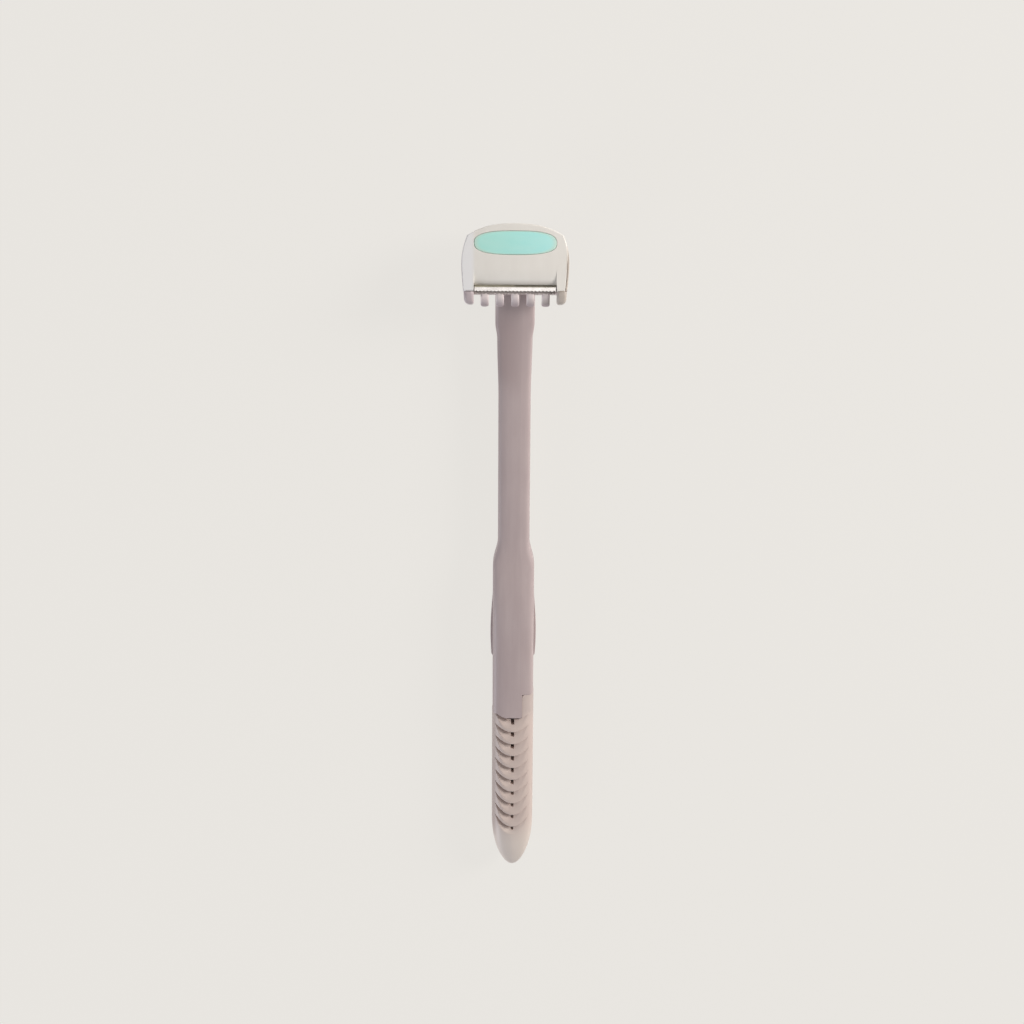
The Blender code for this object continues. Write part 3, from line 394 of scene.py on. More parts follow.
lilac = dict(
    white, colour=(188, 175, 177), dark=(177, 163, 166), light=(199, 187, 188),
    # painted light: the right half of the tray, horns and teeth below the fins turns a warm beige-grey, the tone of
    # the lit side
    tints=[((192, 182, 172), [("x", 0, 10), ("t", -5.3, -5.7)]),
           # painted light: the upper parts of the teeth paler, where the light falls on them
           ((228, 216, 214), [("off", 8.6, 8.3), ("t", -8.1, -6.3), ("t", -5.2, -5.5)]),
           # painted shade: the tips of the teeth darker, where they curl down away from the light
           ((186, 171, 173), [("off", 8.6, 8.3), ("t", -7.4, -8.2)]),
           # painted shade: the tray's right rim darker beige-grey, as an edge in shade
           ((192, 182, 172), [("x", 9.8, 10.6)])],
    rough=0.36,
)
grey = dict(plastic, colour=(120, 113, 113), dark=(106, 99, 100), light=(132, 125, 124))
rubber = dict(
    plastic, colour=(178, 167, 163), dark=(164, 153, 149), light=(190, 180, 175),
    cloudScale=900, cloudDepth=0.6, streakScale=2500, streakDepth=0.2, grainScale=12000,
    rough=0.68, ior=1.44,
)


def mintGel(name, s):
    # a waxy block: clouded colour that cools towards +X and pales at its rim, with a fine dimpled skin
    look = Look(name)
    cloud = look.noise(s["cloudScale"], s["cloudStretch"], detail=3.0)
    side = look.between(look.x, -s["reach"] * mm, s["reach"] * mm)
    base = look.blend(side, fromScreen(*s["left"]), fromScreen(*s["right"]))
    pale = (cloud - s["cloudFrom"]) * s["cloudGain"]
    colour = look.blend(pale, base, fromScreen(*s["pale"]))
    across = abs(look.x / (s["half"] * mm)) ** s["power"]
    along = abs((look.y - s["middle"] * mm) / (s["high"] * mm)) ** s["power"]
    rim = look.between(across + along, s["rimFrom"], s["rimTo"])
    colour = look.blend(rim, colour, fromScreen(*s["rim"]))
    dimple = look.noise(s["dimpleScale"], detail=4.0, rough=0.6)
    normal = look.bump(dimple, s["dimpleDepth"] * mm)
    rough = s["rough"] + (cloud - middle) * s["roughSpread"]
    return look.shade(Base_Color=colour, Roughness=rough, Normal=normal, IOR=s["ior"])


mint = dict(
    left=(182, 241, 229), right=(180, 240, 236), pale=(204, 245, 236), reach=9.0,
    rim=(204, 232, 218), rimFrom=0.62, rimTo=1.0, half=8.4, middle=71.55, high=2.3, power=2.7,
    cloudScale=500, cloudStretch=(0.6, 1, 1), cloudFrom=0.35, cloudGain=0.8,
    dimpleScale=3500, dimpleDepth=0.02, rough=0.45, roughSpread=0.2, ior=1.42,
)


def groundSteel(name, s):
    # grinding lines across the blade: a noise stretched along X changes the gloss and the height
    look = Look(name)
    lines = look.noise(s["lineScale"], s["lineStretch"], detail=3.0, rough=0.6)
    stain = look.noise(s["stainScale"])
    colour = look.ramp(stain, [(s["stainFrom"], s["dark"]), (s["stainTo"], s["colour"])])
    rough = s["rough"] + (lines - middle) * s["roughSpread"]
    normal = look.bump(lines, s["lineDepth"] * mm)
    return look.shade(Base_Color=colour, Metallic=1.0, Roughness=rough, Normal=normal)


steel = dict(
    colour=(216, 211, 194), dark=(196, 191, 174), rough=0.50, roughSpread=0.16,
    lineScale=9000, lineStretch=(0.02, 1, 1), lineDepth=0.001,
    stainScale=700, stainFrom=0.25, stainTo=0.8,
)
polished = dict(steel, colour=(226, 221, 216), dark=(198, 192, 187), rough=0.28)

mauvePlastic = mouldedPlastic("mauvePlastic", mauve)
beigePlastic = mouldedPlastic("beigePlastic", beige)
whitePlastic = mouldedPlastic("whitePlastic", white)
lilacPlastic = mouldedPlastic("lilacPlastic", lilac)
greyPlastic = mouldedPlastic("greyPlastic", grey)
finRubber = mouldedPlastic("finRubber", rubber)
mintStrip = mintGel("mintStrip", mint)
bladeSteel = groundSteel("bladeSteel", steel)
guardSteel = groundSteel("guardSteel", polished)
print("finishes made")


# Handle: its two shells

handle = dict(
    # lengths along Y, from the tail's tip up to the neck
    capLength=39.5, gripLength=34.2, shoulder=6.0, shaftLength=45.2, flareLength=3.6,
    neckLength=7.4, taperLength=13.0, bendLength=12.0, neckStraight=10.5, neckAngle=radians(7.5),
    # widths and depths on the way; the depth changes from easeBefore the shoulder to easeAfter it
    gripWide=9.0, shaftWide=6.85, shaftTopWide=7.4, neckWide=8.2,
    gripDeep=8.6, shaftDeep=6.5, neckDeep=5.0, easeBefore=11.0, easeAfter=2.0,
    # cross-section
    wall=1.0, seam=0.10, edge=0.12, power=3.0, frontPower=7.0, ridge=0.17, ridgeBlur=0.16,
    backFlat=0.3, flatBlur=0.08, mouthGap=0.10,
    # finger rest on the back
    restSwell=0.5, restLength=14.4, restFromMouth=13.2, restEnd=0.7, restShare=0.78,
    # rows and columns
    columns=72, rowStep=0.45, firstRow=0.6, lastRow=0.5, restRows=7,
)
# where handle and cap meet: an arc, and a tab on the right, its side edge that many times sharper
mouth = dict(tabHeight=4.7, tabEdge=2.1, tabRound=0.5, halfChord=3.4, sag=1.2, sharper=4)
edgeSteps = np.array([0, 0.2, 0.5, 1.0, 2.0])  # rows and columns next to an edge, in radii of its rounding
mouthShares = np.array([0, 0.005, 0.012, 0.024, 0.06, 0.15, 0.3, 0.5, 0.7, 0.85, 0.94, 0.976, 0.988, 0.995])

tipY = cadLow.y / mm
mouthY = tipY + handle["capLength"]
gripEnd = mouthY + handle["gripLength"]
shaftStart = gripEnd + handle["shoulder"]
flareStart = shaftStart + handle["shaftLength"]
neckStart = flareStart + handle["flareLength"]
neckEnd = neckStart + handle["neckLength"]
bendEnd = neckEnd - handle["neckStraight"]
bendStart = bendEnd - handle["bendLength"]
neckSlope = float(np.tan(handle["neckAngle"]))


def handleWide(y):
    # grip width, eased down to the shaft, up its taper, then out to the neck
    h = handle
    wide = mix(h["gripWide"], h["shaftWide"], ease(y, gripEnd, shaftStart))
    wide = wide + (h["shaftTopWide"] - h["shaftWide"]) * ease(y, flareStart - h["taperLength"], flareStart)
    return wide + (h["neckWide"] - h["shaftTopWide"]) * ease(y, flareStart, neckStart)


def levelDeep(y):
    # grip depth, eased down to the shaft's round the shoulder
    h = handle
    return mix(h["gripDeep"], h["shaftDeep"], ease(y, gripEnd - h["easeBefore"], shaftStart + h["easeAfter"]))


def handleDeep(y):
    # the level part's depth, eased to the neck's from the start of the bend
    return levelDeep(y) + (handle["neckDeep"] - handle["shaftDeep"]) * ease(y, bendStart, neckStart)


def handleAxis(y):
    # half the level depth, plus a parabola along the bend and a straight rise past it
    along = np.clip(y - bendStart, 0, handle["bendLength"])
    past = np.maximum(y - bendEnd, 0)
    return levelDeep(y) / 2 + neckSlope * (along * along / (2 * handle["bendLength"]) + past)


def ridged(share):
    # a soft ridge with even slopes: one less a share of a rounded absolute value
    blur = handle["ridgeBlur"]
    return 1 - handle["ridge"] * (np.sqrt(share * share + blur * blur) - blur)


def restSwell(y):
    # part of a sine along the finger rest, cut off by a short step towards the neck
    h = handle
    end = mouthY + h["restFromMouth"]
    share = np.clip((end + h["restLength"] - y) / h["restLength"], 0, 1)
    return h["restSwell"] * np.sin(pi * h["restShare"] * share) * ease(y, end - h["restEnd"], end)


def mouthArc(x, gap):
    # a circle's arc that hangs by sag below its chord, level beyond its ends, moved by the gap
    half, sag = mouth["halfChord"], mouth["sag"]
    radius = (half * half + sag * sag) / (2 * sag)
    inside = np.minimum(np.abs(x), half)
    return mouthY - sag + gap + radius - np.sqrt(radius * radius - inside * inside)


def tabTop(x):
    # the tab's upper line with its inner corner rounded
    return mouthY + mouth["tabHeight"] - roundOff(np.maximum(x - mouth["tabEdge"], 0), mouth["tabRound"])


def tabColumns(half, power, edge):
    # angles of the columns on the tab's edge and beside it: arc cosine of x over half, to half the power
    beside = mouth["tabEdge"] + np.concatenate([-edgeSteps, edgeSteps[1:], [3.5]]) * edge
    return np.arccos((beside / half) ** (power / 2))


def handleShell(name, front, node):
    # half a superellipse carried along Y, its width, depth and rise functions of y; the inner skin is smaller by
    # the wall. The front is ridged, the back has its flat and its finger rest
    h, edgeX = handle, mouth["tabEdge"]
    half = h["gripWide"] / 2
    power = h["frontPower"] if front else h["power"]
    spaced = pi * (1 - np.cos(pi * np.linspace(0, 1, h["columns"]))) / 2
    angle = np.unique(np.round(np.concatenate([spaced, tabColumns(half, power, h["edge"])]), 5))
    angle = angle if front else -angle
    mouthX = superEllipse(angle, half, 1, power)[0]

    # rows from the mouth's arc to the tab's notch, then straight ones to the neck's end
    rear = mouthArc(mouthX, h["mouthGap"])
    notchY = mouthY + mouth["tabHeight"] + h["mouthGap"]
    restEnd = mouthY + h["restFromMouth"]
    stations = np.unique(np.concatenate([
        notchY + h["edge"] * edgeSteps, np.arange(notchY + h["firstRow"], neckEnd - h["lastRow"], h["rowStep"]),
        restEnd - h["restEnd"] * np.linspace(0, 1, h["restRows"]), neckEnd - h["edge"] * edgeSteps]))
    y = np.concatenate([mix(rear, notchY, mouthShares[:, None]), stations[:, None] + 0 * mouthX])

    halfWide = handleWide(y) / 2 + (0 if front else restSwell(y))
    halfDeep = (handleDeep(y) - h["seam"]) / 2
    extra = 0 if front else h["backFlat"]
    skins = []
    for wall in (0, h["wall"]):
        x, z = superEllipse(angle, halfWide - wall, halfDeep + extra - wall, power)
        z = z * ridged(x / halfWide) if front else softMax(z, wall - halfDeep, h["flatBlur"])
        skins.append(np.stack([x, y, z], -1))
    outer, inner = skins

    # the outer skin moves towards the inner one near the mouth, the notch, the neck's end and the seam
    past = outer[..., 0] > edgeX + hair
    toRear = np.where(past, np.where(y >= notchY, y - notchY, far), y - rear)
    toNotch = np.where(~past & (y < notchY), (edgeX - outer[..., 0]) * mouth["sharper"], far)
    nearest = np.minimum.reduce([toRear, toNotch, neckEnd - y, np.abs(outer[..., 2])])
    outer = mix(outer, inner, (roundOff(nearest, h["edge"]) / h["wall"])[..., None])

    # each section leans with the bend and rises to the axis
    rise = handleAxis(y) + (h["seam"] if front else -h["seam"]) / 2
    lean = neckSlope * ease(y, bendStart, bendEnd)
    for skin in (outer, inner):
        skin[..., 1] -= skin[..., 2] * lean
        skin[..., 2] += rise
    keep = np.ones((len(y) - 1, len(angle) - 1), bool)
    keep[:len(mouthShares)] = (mouthX[1:] + mouthX[:-1]) / 2 < edgeX
    shellPiece(name, outer, inner, keep, False, mauvePlastic, "handle", [node], "mauve_plastic")


handleShell("frontShell", True, "handle_front_shell")
handleShell("backShell", False, "handle_back_shell")
print("handle shells made")


# Tail cap with its louvres

tail = dict(
    wide=9.2, deep=8.6, power=3.0, frontPower=3.3, edge=0.10, tabSink=0.06, tabFade=0.4,
    # the pointed end
    nose=13.0, noseFlat=0.15, lengthPower=2.1, widthPower=1.55, tipBlur=0.06,
    # the pocket inside
    sideWall=1.3, frontWall=2.0, backWall=1.2, cavityEnd=8.0, pocketNose=1.2,
    # louvres: their arcs, the drop under each lip, the scoop's depth from left to right, the vents; a pair holds
    # the first and the last louvre's value, or where a fade starts and ends
    louvres=10, pitch=2.96, sags=(1.25, 2.15), halfChord=3.4, arcReach=3.8,
    drop=0.02, ramp=2.5, rampPower=1.4, lip=0.12, lipFade=0.7,
    leftDepth=0.9, depth=1.4, rightDepth=0.52, leftFade=(-3.8, -0.8), rightFade=(-0.7, 1.9),
    ventWide=(0.40, 0.31), ventLong=(1.3, 1.0),
    # grid: columns by their x on the front, rows by their shares
    ventColumns=[0, 0.12, 0.24, 0.32, 0.35, 0.385, 0.42, 0.45, 0.48, 0.5], louvreColumns=(0.6, 4.5, 33),
    sideColumns=[4.54, 4.57, 4.585, 4.595, 4.599], backColumns=40, noseRows=45, nosePower=1.6,
)
tabShares = np.array([1, 0.994, 0.985, 0.97, 0.9, 0.75, 0.5, 0.25, 0.1, 0.03, 0.012, 0.005])
louvreSteps = np.array([0, 0.02, 0.16, 0.36, 0.6, 0.85, 1.1, 1.3, 1.55, 1.8, 2.0, 2.1, 2.2, 2.4, 2.6, 2.75,
                        2.86, 2.92])  # rows of a louvre, by their distance under its arc


def noseShare(fromTip):
    # a slightly blunt ogive, full at the nose's length: one less a power of the way left, then a root
    blunt = tail["noseFlat"] * fromTip / (fromTip + tail["noseFlat"] * 2)
    share = np.clip((fromTip + blunt) / tail["nose"], 0, 1)
    return (1 - (1 - share) ** tail["lengthPower"]) ** (1 / tail["widthPower"])


def louvreArc(x, y, sag):
    # a parabola that hangs by sag below its height at the half chord
    inside = np.minimum(np.abs(x), tail["arcReach"])
    return y + sag * (inside / tail["halfChord"]) ** 2


def capColumns():
    # angles from the columns' x: arc cosine of x over half the width, to half the power; even ones on the back
    t = tail
    half = t["wide"] / 2
    frontX = np.concatenate([t["ventColumns"], np.linspace(*t["louvreColumns"]), t["sideColumns"], [half]])
    right = np.arccos((frontX / half) ** (t["power"] / 2))
    tab = tabColumns(half, t["power"], t["edge"])
    under = np.linspace(0, -pi, t["backColumns"] + 1)[1:-1]
    return np.unique(np.round(np.concatenate([right, pi - right, tab, -tab, under]), 5))[::-1]


def capRows(mouthX):
    # rows of the tab, the louvres and the nose, each with its distance under its own arc and its louvre's index:
    # -1 on the tab, one past the last on the nose
    t = tail
    order = np.arange(1, t["louvres"] + 1)[:, None]
    sags = np.append(np.linspace(*t["sags"], t["louvres"])[1:], t["sags"][1])[:, None]
    arcs = louvreArc(mouthX, mouthY - mouth["sag"] - t["pitch"] * order, sags)
    arcs = np.concatenate([mouthArc(mouthX, 0)[None], arcs])
    tab = mix(arcs[0], tabTop(mouthX), tabShares[:, None])
    louvres = mix(arcs[:-1, None], arcs[1:, None], (louvreSteps / t["pitch"])[:, None]).reshape(-1, len(mouthX))
    toTip = np.linspace(0, 1, t["noseRows"] + 1)[1:, None]
    nose = mix(louvres[-1], tipY, 1 - (1 - toTip) ** t["nosePower"])
    below = np.concatenate([np.full(len(tab), -1.0), np.tile(louvreSteps, t["louvres"]), np.full(len(nose), far)])
    index = np.repeat(np.arange(-1, t["louvres"] + 1), [len(tab)] + [len(louvreSteps)] * t["louvres"] + [len(nose)])
    return np.concatenate([tab, louvres, nose]), below[:, None], index[:, None]


def capSkin(angle, y, below, index):
    # a ridged superellipse drawn in by the nose, less the louvres, their lips and the tab's sink
    t, front = tail, np.sin(angle) > 0
    half, middleZ = t["wide"] / 2, t["deep"] / 2
    x, z = superEllipse(angle, half, middleZ + handle["backFlat"], t["power"])
    crown = middleZ * ridged(x / half)
    share = np.minimum(np.abs(x / half), 1)
    z = np.where(front, crown * (1 - share ** t["frontPower"]) ** (1 / t["frontPower"]), z)
    fullness = noseShare(y - tipY)
    x, z = x * fullness, softMax(z * fullness + middleZ, 0.0, t["tipBlur"])

    # a louvre's floor climbs back to the crown by a power of the way along the ramp
    climb = np.clip(1 - (below - t["drop"]) / t["ramp"], 0, 1) ** t["rampPower"]
    depth = mix(t["leftDepth"], t["depth"], ease(x, *t["leftFade"]))
    depth = mix(depth, t["rightDepth"], ease(x, *t["rightFade"]))
    inLouvre = (index >= 0) & (index < t["louvres"])
    onArc = below < t["drop"] / 2
    z = np.where(inLouvre & ~onArc & front, np.minimum(z, middleZ + crown - depth * climb), z)

    # a rounded lip before the next louvre, and the tab a little lower than the handle
    toNext = np.where(inLouvre & (index < t["louvres"] - 1), t["pitch"] - below, far)
    toNext = np.where(onArc & (index >= 1), 0.0, toNext)
    within = 1 - ease(np.abs(x), t["arcReach"] - t["lipFade"], t["arcReach"])
    z = np.where(front, z - roundOff(toNext, t["lip"]) * within, z)
    sink = t["tabSink"] * ease(y, mouthY - t["tabFade"], mouthY + t["tabFade"])
    return np.stack([x, y, np.where((index < 0) & front, z - sink, z)], -1)


def capPocket(angle, y):
    # a superellipse that closes by the root of the distance from the pocket's end
    t = tail
    middleZ, cavityY = t["deep"] / 2, tipY + t["cavityEnd"]
    x, z = superEllipse(angle, t["wide"] / 2 - t["sideWall"], 1, t["power"])
    z = z * (middleZ - np.where(z > 0, t["frontWall"], t["backWall"]))
    wide = np.sqrt(np.clip((y - cavityY) / t["pocketNose"], 0, 1))
    return np.stack([x * wide, np.maximum(y, cavityY), z * wide + middleZ], -1)


def tailCap():
    t, edgeX = tail, mouth["tabEdge"]
    angle = capColumns()
    mouthX = superEllipse(angle, t["wide"] / 2, 1, t["power"])[0]
    y, below, index = capRows(mouthX)
    outer, inner = capSkin(angle, y, below, index), capPocket(angle, y)

    # the outer skin moves towards the inner one near the mouth's and the tab's edges
    past, inTab = mouthX >= edgeX - hair, index < 0
    toEdge = np.where(past, tabTop(mouthX) - y, np.where(inTab, far, mouthArc(mouthX, 0) - y))
    toSide = np.where(inTab & past, mouthX - edgeX, far)
    drop = np.maximum(roundOff(toEdge, t["edge"]), roundOff(toSide, t["edge"] / mouth["sharper"]))
    depth = np.linalg.norm(outer - inner, axis=-1)
    outer = mix(outer, inner, (drop / depth)[..., None])

    # left out: the cells beside the tab, and the vents under the lips in the middle
    cellX = (mouthX + np.roll(mouthX, -1)) / 2
    keep = np.ones((len(y) - 1, len(angle)), bool)
    keep[:len(tabShares)] = cellX > edgeX
    start, louvre = below[:-1], index[:-1]
    share = np.clip(louvre, 0, t["louvres"] - 1) / (t["louvres"] - 1)
    vent = (np.abs(cellX) < mix(*t["ventWide"], share)) & (np.sin(angle) > 0)
    vent = vent & (start >= 0) & (start < mix(*t["ventLong"], share))
    keep &= ~(vent & ((start > t["drop"] / 2) | (louvre == 0)))
    shellPiece("tailCap", outer, inner, keep, True, beigePlastic, "cap", ["end_cap"], "beige_plastic")


tailCap()
print("tail cap made")


# Head: pieces in its own frame

face = dict(
    apex=8.35, half=11.0, waist=0.5, cornerX=9.88, cornerT=5.93, seam=5.5, opening=8.42,
    arch=(2.35, 9.75, 2.6), shoulder=(0.9, 4.9, 1.9), foot=(0.45, 6.0, 1.6),  # draw, reach and power
    pathPoints=200, sidePoints=112, footPoints=16, shoulderPoint=56,
)


def headPoint(x, t, n):
    # the face's frame turned by the tilt about the pivot
    along, above = turned(t + pivot["along"], n + pivot["above"], pivot["tilt"])
    return np.stack(np.broadcast_arrays(x, pivot["y"] + along, pivot["z"] + above), -1)


def resampled(path, count):
    # the same line with evenly spaced points
    step = np.linalg.norm(np.diff(path, axis=0), axis=1)
    along = np.concatenate([[0], np.cumsum(step)])
    spaced = np.linspace(0, along[-1], count)
    return np.stack([np.interp(spaced, along, path[:, 0]), np.interp(spaced, along, path[:, 1])], -1)


def drawn(way, draw, reach, power):
    # the draw times a power of the share of the reach that the way covers
    return draw * (np.maximum(way, 0) / reach) ** power


def headSide():
    # from the seam up the side to the shoulder, drawn in both ways from the waist, then over the arch to the apex
    f = face
    t = np.linspace(-f["seam"], f["cornerT"], f["pathPoints"])
    sideX = f["half"] - drawn(t - f["waist"], *f["shoulder"]) - drawn(f["waist"] - t, *f["foot"])
    x = np.linspace(f["cornerX"], 0, f["pathPoints"])
    path = np.concatenate([np.stack([sideX, t], -1), np.stack([x, f["apex"] - drawn(x, *f["arch"])], -1)])
    return resampled(path, f["sidePoints"])


def mirrored(half, image):
    # values from the middle of the bottom up the right side to the middle of the top, then down their image
    return np.concatenate([half[:-1], image[:0:-1]])


def softened(path, passes):
    # each point becomes the average of itself and its two neighbours, on a closed path
    for _ in range(passes):
        path = (np.roll(path, 1, 0) + 2 * path + np.roll(path, -1, 0)) / 4
    return path


def ovalAt(angle, wide, high, centre, power):
    # a superellipse round a point on the head's middle line, and that point as often
    oval = np.stack(superEllipse(angle, wide, high, power), -1) + (0, centre)
    return oval, 0 * oval + (0, centre)


def drawnIn(path, target, distance):
    # each point moved by a distance straight towards its partner on the target
    reach = np.linalg.norm(target - path, axis=1)
    return path + (target - path) * (distance / reach)[:, None]


def discs(core, oval, shares, height):
    # rings at one height that fill an oval down to its core
    return [(mix(core, oval, share), height) for share in shares]


def ringShell(rings):
    # rings of (closed path, height) from one pole to the other
    return closedGrid(np.stack([headPoint(*path.T, height) for path, height in rings]))


cover = dict(
    inset=0.12, insetFade=(1, 6), rightInset=0.36, rightFade=(8.6, 9.6), rightTop=(-0.5, 4.8),
    draft=0.03, round=0.30, lipRound=0.05, crownX=0.30, crownT=0.12, crownCentre=2,
    crownReach=6, rollStart=0.8, lip=4.15, rollDepth=1.2, rollEnd=0.995,
    bandStart=8.391, bandEnd=8.397, bottom=-2.3, roof=-1.42,
    # the strip's pocket
    floor=-0.68, floorRound=0.03, floorSteps=(0.05, 0.5, 0.97), pocketTop=-0.3, pocketRound=0.12,
    pocketSteps=(0, 0.004, 0.015, 0.035, 0.06, 0.09, 0.12, 0.16),
    # grid: columns of the lip by their x, rings of the face, and rings round its rim in radii of the rounding
    lipEven=(0, 8.3, 52), lipClose=[8.35, 8.375, 8.39, 8.398, 8.408], sweepAngle=radians(32),
    sweepGap=0.01, crispReach=0.1, faceFrom=0.18, faceTo=1.4, faceRings=(0.02, 1, 46),
    rimSteps=(1.2, 1.0, 0.8, 0.62, 0.46, 0.32, 0.2, 0.1, 0.04, 0.01, 0), skirt=(0.4, 0.8, 0.96),
    underWide=(0.06, 1.0, 1.02),
)
closing = (1, 0.5, 0.05)  # shares of the rings that close a shell
strip = dict(
    half=8.4, high=2.42, centre=4.25, power=2.7, crown=0.16, sink=0.02, edge=0.22,
    low=-0.62, gap=0.035, points=240, rings=(0.03, 0.86, 26),
    edgeSteps=(1.2, 1.0, 0.8, 0.6, 0.45, 0.3, 0.18, 0.08, 0.02, 0),
)


def coverTop(path):
    # a shallow crown both ways, by squares; between the end bands the lip rolls down as a quarter of an ellipse
    c = cover
    x, t = path.T
    crown = -c["crownX"] * (x / face["half"]) ** 2 - c["crownT"] * ((t - c["crownCentre"]) / c["crownReach"]) ** 2
    share = np.clip((-c["rollStart"] - t) / (c["lip"] - c["rollStart"]), 0, 1)
    roll = c["rollDepth"] * (1 - np.sqrt(1 - share * share * c["rollEnd"]))
    return crown - roll * (1 - ease(np.abs(x), c["bandStart"], c["bandEnd"]))


def headCover():
    # rings between the pocket's oval and the head's outline: the pocket, the face, the rim, the skirt, the roof
    c, f = cover, face
    side, bottom = headSide(), -f["seam"]
    lipX = np.append(np.linspace(*c["lipEven"]), c["lipClose"])
    lip = np.stack([lipX, 0 * lipX - c["lip"]], -1)
    foot = np.linspace((f["opening"] + c["draft"], bottom), (side[0, 0] - c["inset"], bottom), f["footPoints"])[:-1]
    rim = np.stack([side[:, 0] * (1 - c["inset"] / f["half"]),
                    side[:, 1] - c["inset"] * ease(side[:, 1], *c["insetFade"])], -1)
    half = np.concatenate([lip, foot, rim])

    # the columns under the strip stand upright, so that the end bands' edges run along one of them
    ovalHalf = strip["half"] + strip["gap"]
    upright = -np.arccos((lipX / ovalHalf) ** (strip["power"] / 2))
    rest = len(half) - len(lip)
    keys = [0, f["footPoints"], f["footPoints"] + f["shoulderPoint"], rest - 1]
    sweep = np.interp(np.arange(rest), keys, [upright[-1] + c["sweepGap"], 0, c["sweepAngle"], pi / 2])
    halfAngle = np.concatenate([upright, sweep])
    angle = mirrored(halfAngle, pi - halfAngle)

    # the right side drawn in, then the outline smoothed, all but the lip
    loop = mirrored(half, half * (-1, 1))
    loop[:, 0] -= c["rightInset"] * ease(loop[:, 0], *c["rightFade"]) * (1 - ease(loop[:, 1], *c["rightTop"]))
    loop = np.where(np.abs(loop[:, :1]) < f["opening"] + c["crispReach"], loop, softened(loop, 1))
    oval, core = ovalAt(angle, ovalHalf, strip["high"] + strip["gap"], strip["centre"], strip["power"])
    reach = np.linalg.norm(loop - oval, axis=1)
    # the lip is crisp and ends at the roof on its right half, soft and as deep as the skirt on its left
    crisp = np.arange(len(loop)) < len(lip)
    radius = np.where(crisp, c["lipRound"], c["round"])
    low = np.where(crisp, c["roof"], c["bottom"])

    def topRing(inset, away, rounding):
        # a ring on the face, lowered by the rounding of an edge that lies away from it
        path = drawnIn(loop, oval, inset)
        return path, coverTop(path) - roundOff(away, rounding)

    rings = discs(core, oval, c["floorSteps"], c["floor"])
    rings += [(oval, c["floor"] + c["floorRound"]), (oval, c["pocketTop"])]
    rings += [topRing(reach - away, away, c["pocketRound"]) for away in c["pocketSteps"]]
    start = reach - c["faceFrom"]
    span = start - radius * c["faceTo"]
    rings += [topRing(start - span * share, far, radius) for share in np.linspace(*c["faceRings"])]
    rings += [topRing(radius * share, radius * share, radius) for share in c["rimSteps"]]
    edge = rings[-1][1]
    rings += [(loop, mix(edge, low, share)) for share in c["skirt"]]
    rings += [(drawnIn(loop, oval, inset), level) for inset, level in zip(c["underWide"], (low, low, c["roof"]))]
    rings += discs(core, oval, closing, c["roof"])
    makePiece("headCover", *ringShell(rings), whitePlastic, "head", ["head_cover"], "white_plastic")


def softStrip():
    # the cover's face with a crown of one less x squared times one less t squared, its edge rounded
    s = strip
    oval, core = ovalAt(around(s["points"]), s["half"], s["high"], s["centre"], s["power"])

    def topRing(path, away):
        x, t = ((path - (0, s["centre"])) / (s["half"], s["high"])).T
        crown = coverTop(path) + s["crown"] * (1 - x * x) * (1 - t * t) - s["sink"]
        return path, crown - roundOff(away, s["edge"])

    rings = [topRing(mix(core, oval, share), far) for share in np.linspace(*s["rings"])]
    rings += [topRing(drawnIn(oval, core, away), away) for away in s["edge"] * np.array(s["edgeSteps"])]
    rings += discs(core, oval, closing, s["low"])
    makePiece("softStrip", *ringShell(rings), mintStrip, "head", ["lubricating_strip"], "mint_strip")


tray = dict(
    back=-4.8, floor=-3.8, floorSteps=(0.05, 1), seat=-2.62, rim=-2.42, rimWide=0.40,
    wall=1.7, frontWall=0.6, frontAngle=radians(41), rimAngle=radians(51), rimStep=0.02,
    backRound=0.6, rimRound=0.14, corner=0.05, seatRound=0.06,
    centre=1.2, refWide=6.5, refHigh=3.0, refPower=2.0,
    frontPoints=30, cornerAngles=np.radians([-90, -50, -40, 35, 90]),
    rimSteps=(1, 0.75, 0.5, 0.3, 0.15, 0.05, 0), backSteps=(0.03, 0.12, 0.25, 0.4, 0.6, 0.8, 1),
)
teeth = dict(
    count=5, pitch=3.11, half=0.83, root=-5.5, reach=2.75, top=-1.82, curl=1.9,
    curlPower=2.0, deep=1.5, power=3.2, tipStart=0.84, tipPower=2.6, tipFull=0.998,
    steps=(0, 0.7, 15, 12), points=40,
)
horn = dict(
    start=-5.60, foot=-7.95, outer=10.5, inner=8.42, draft=0.15, outerRound=1.0,
    innerRound=0.45, top=-0.36, sink=1.2, sinkPower=1.8, low=-4.2, topRound=0.5,
    startRound=0.06, power=4.0, firstSteps=[0, 0.01, 0.03], steps=(0.06, 0.75, 14, 14), points=48,
)
bar = dict(half=9.0, wide=0.36, high=1.32, t=-5.52, n=-3.46, power=4.0, columns=9, points=40)


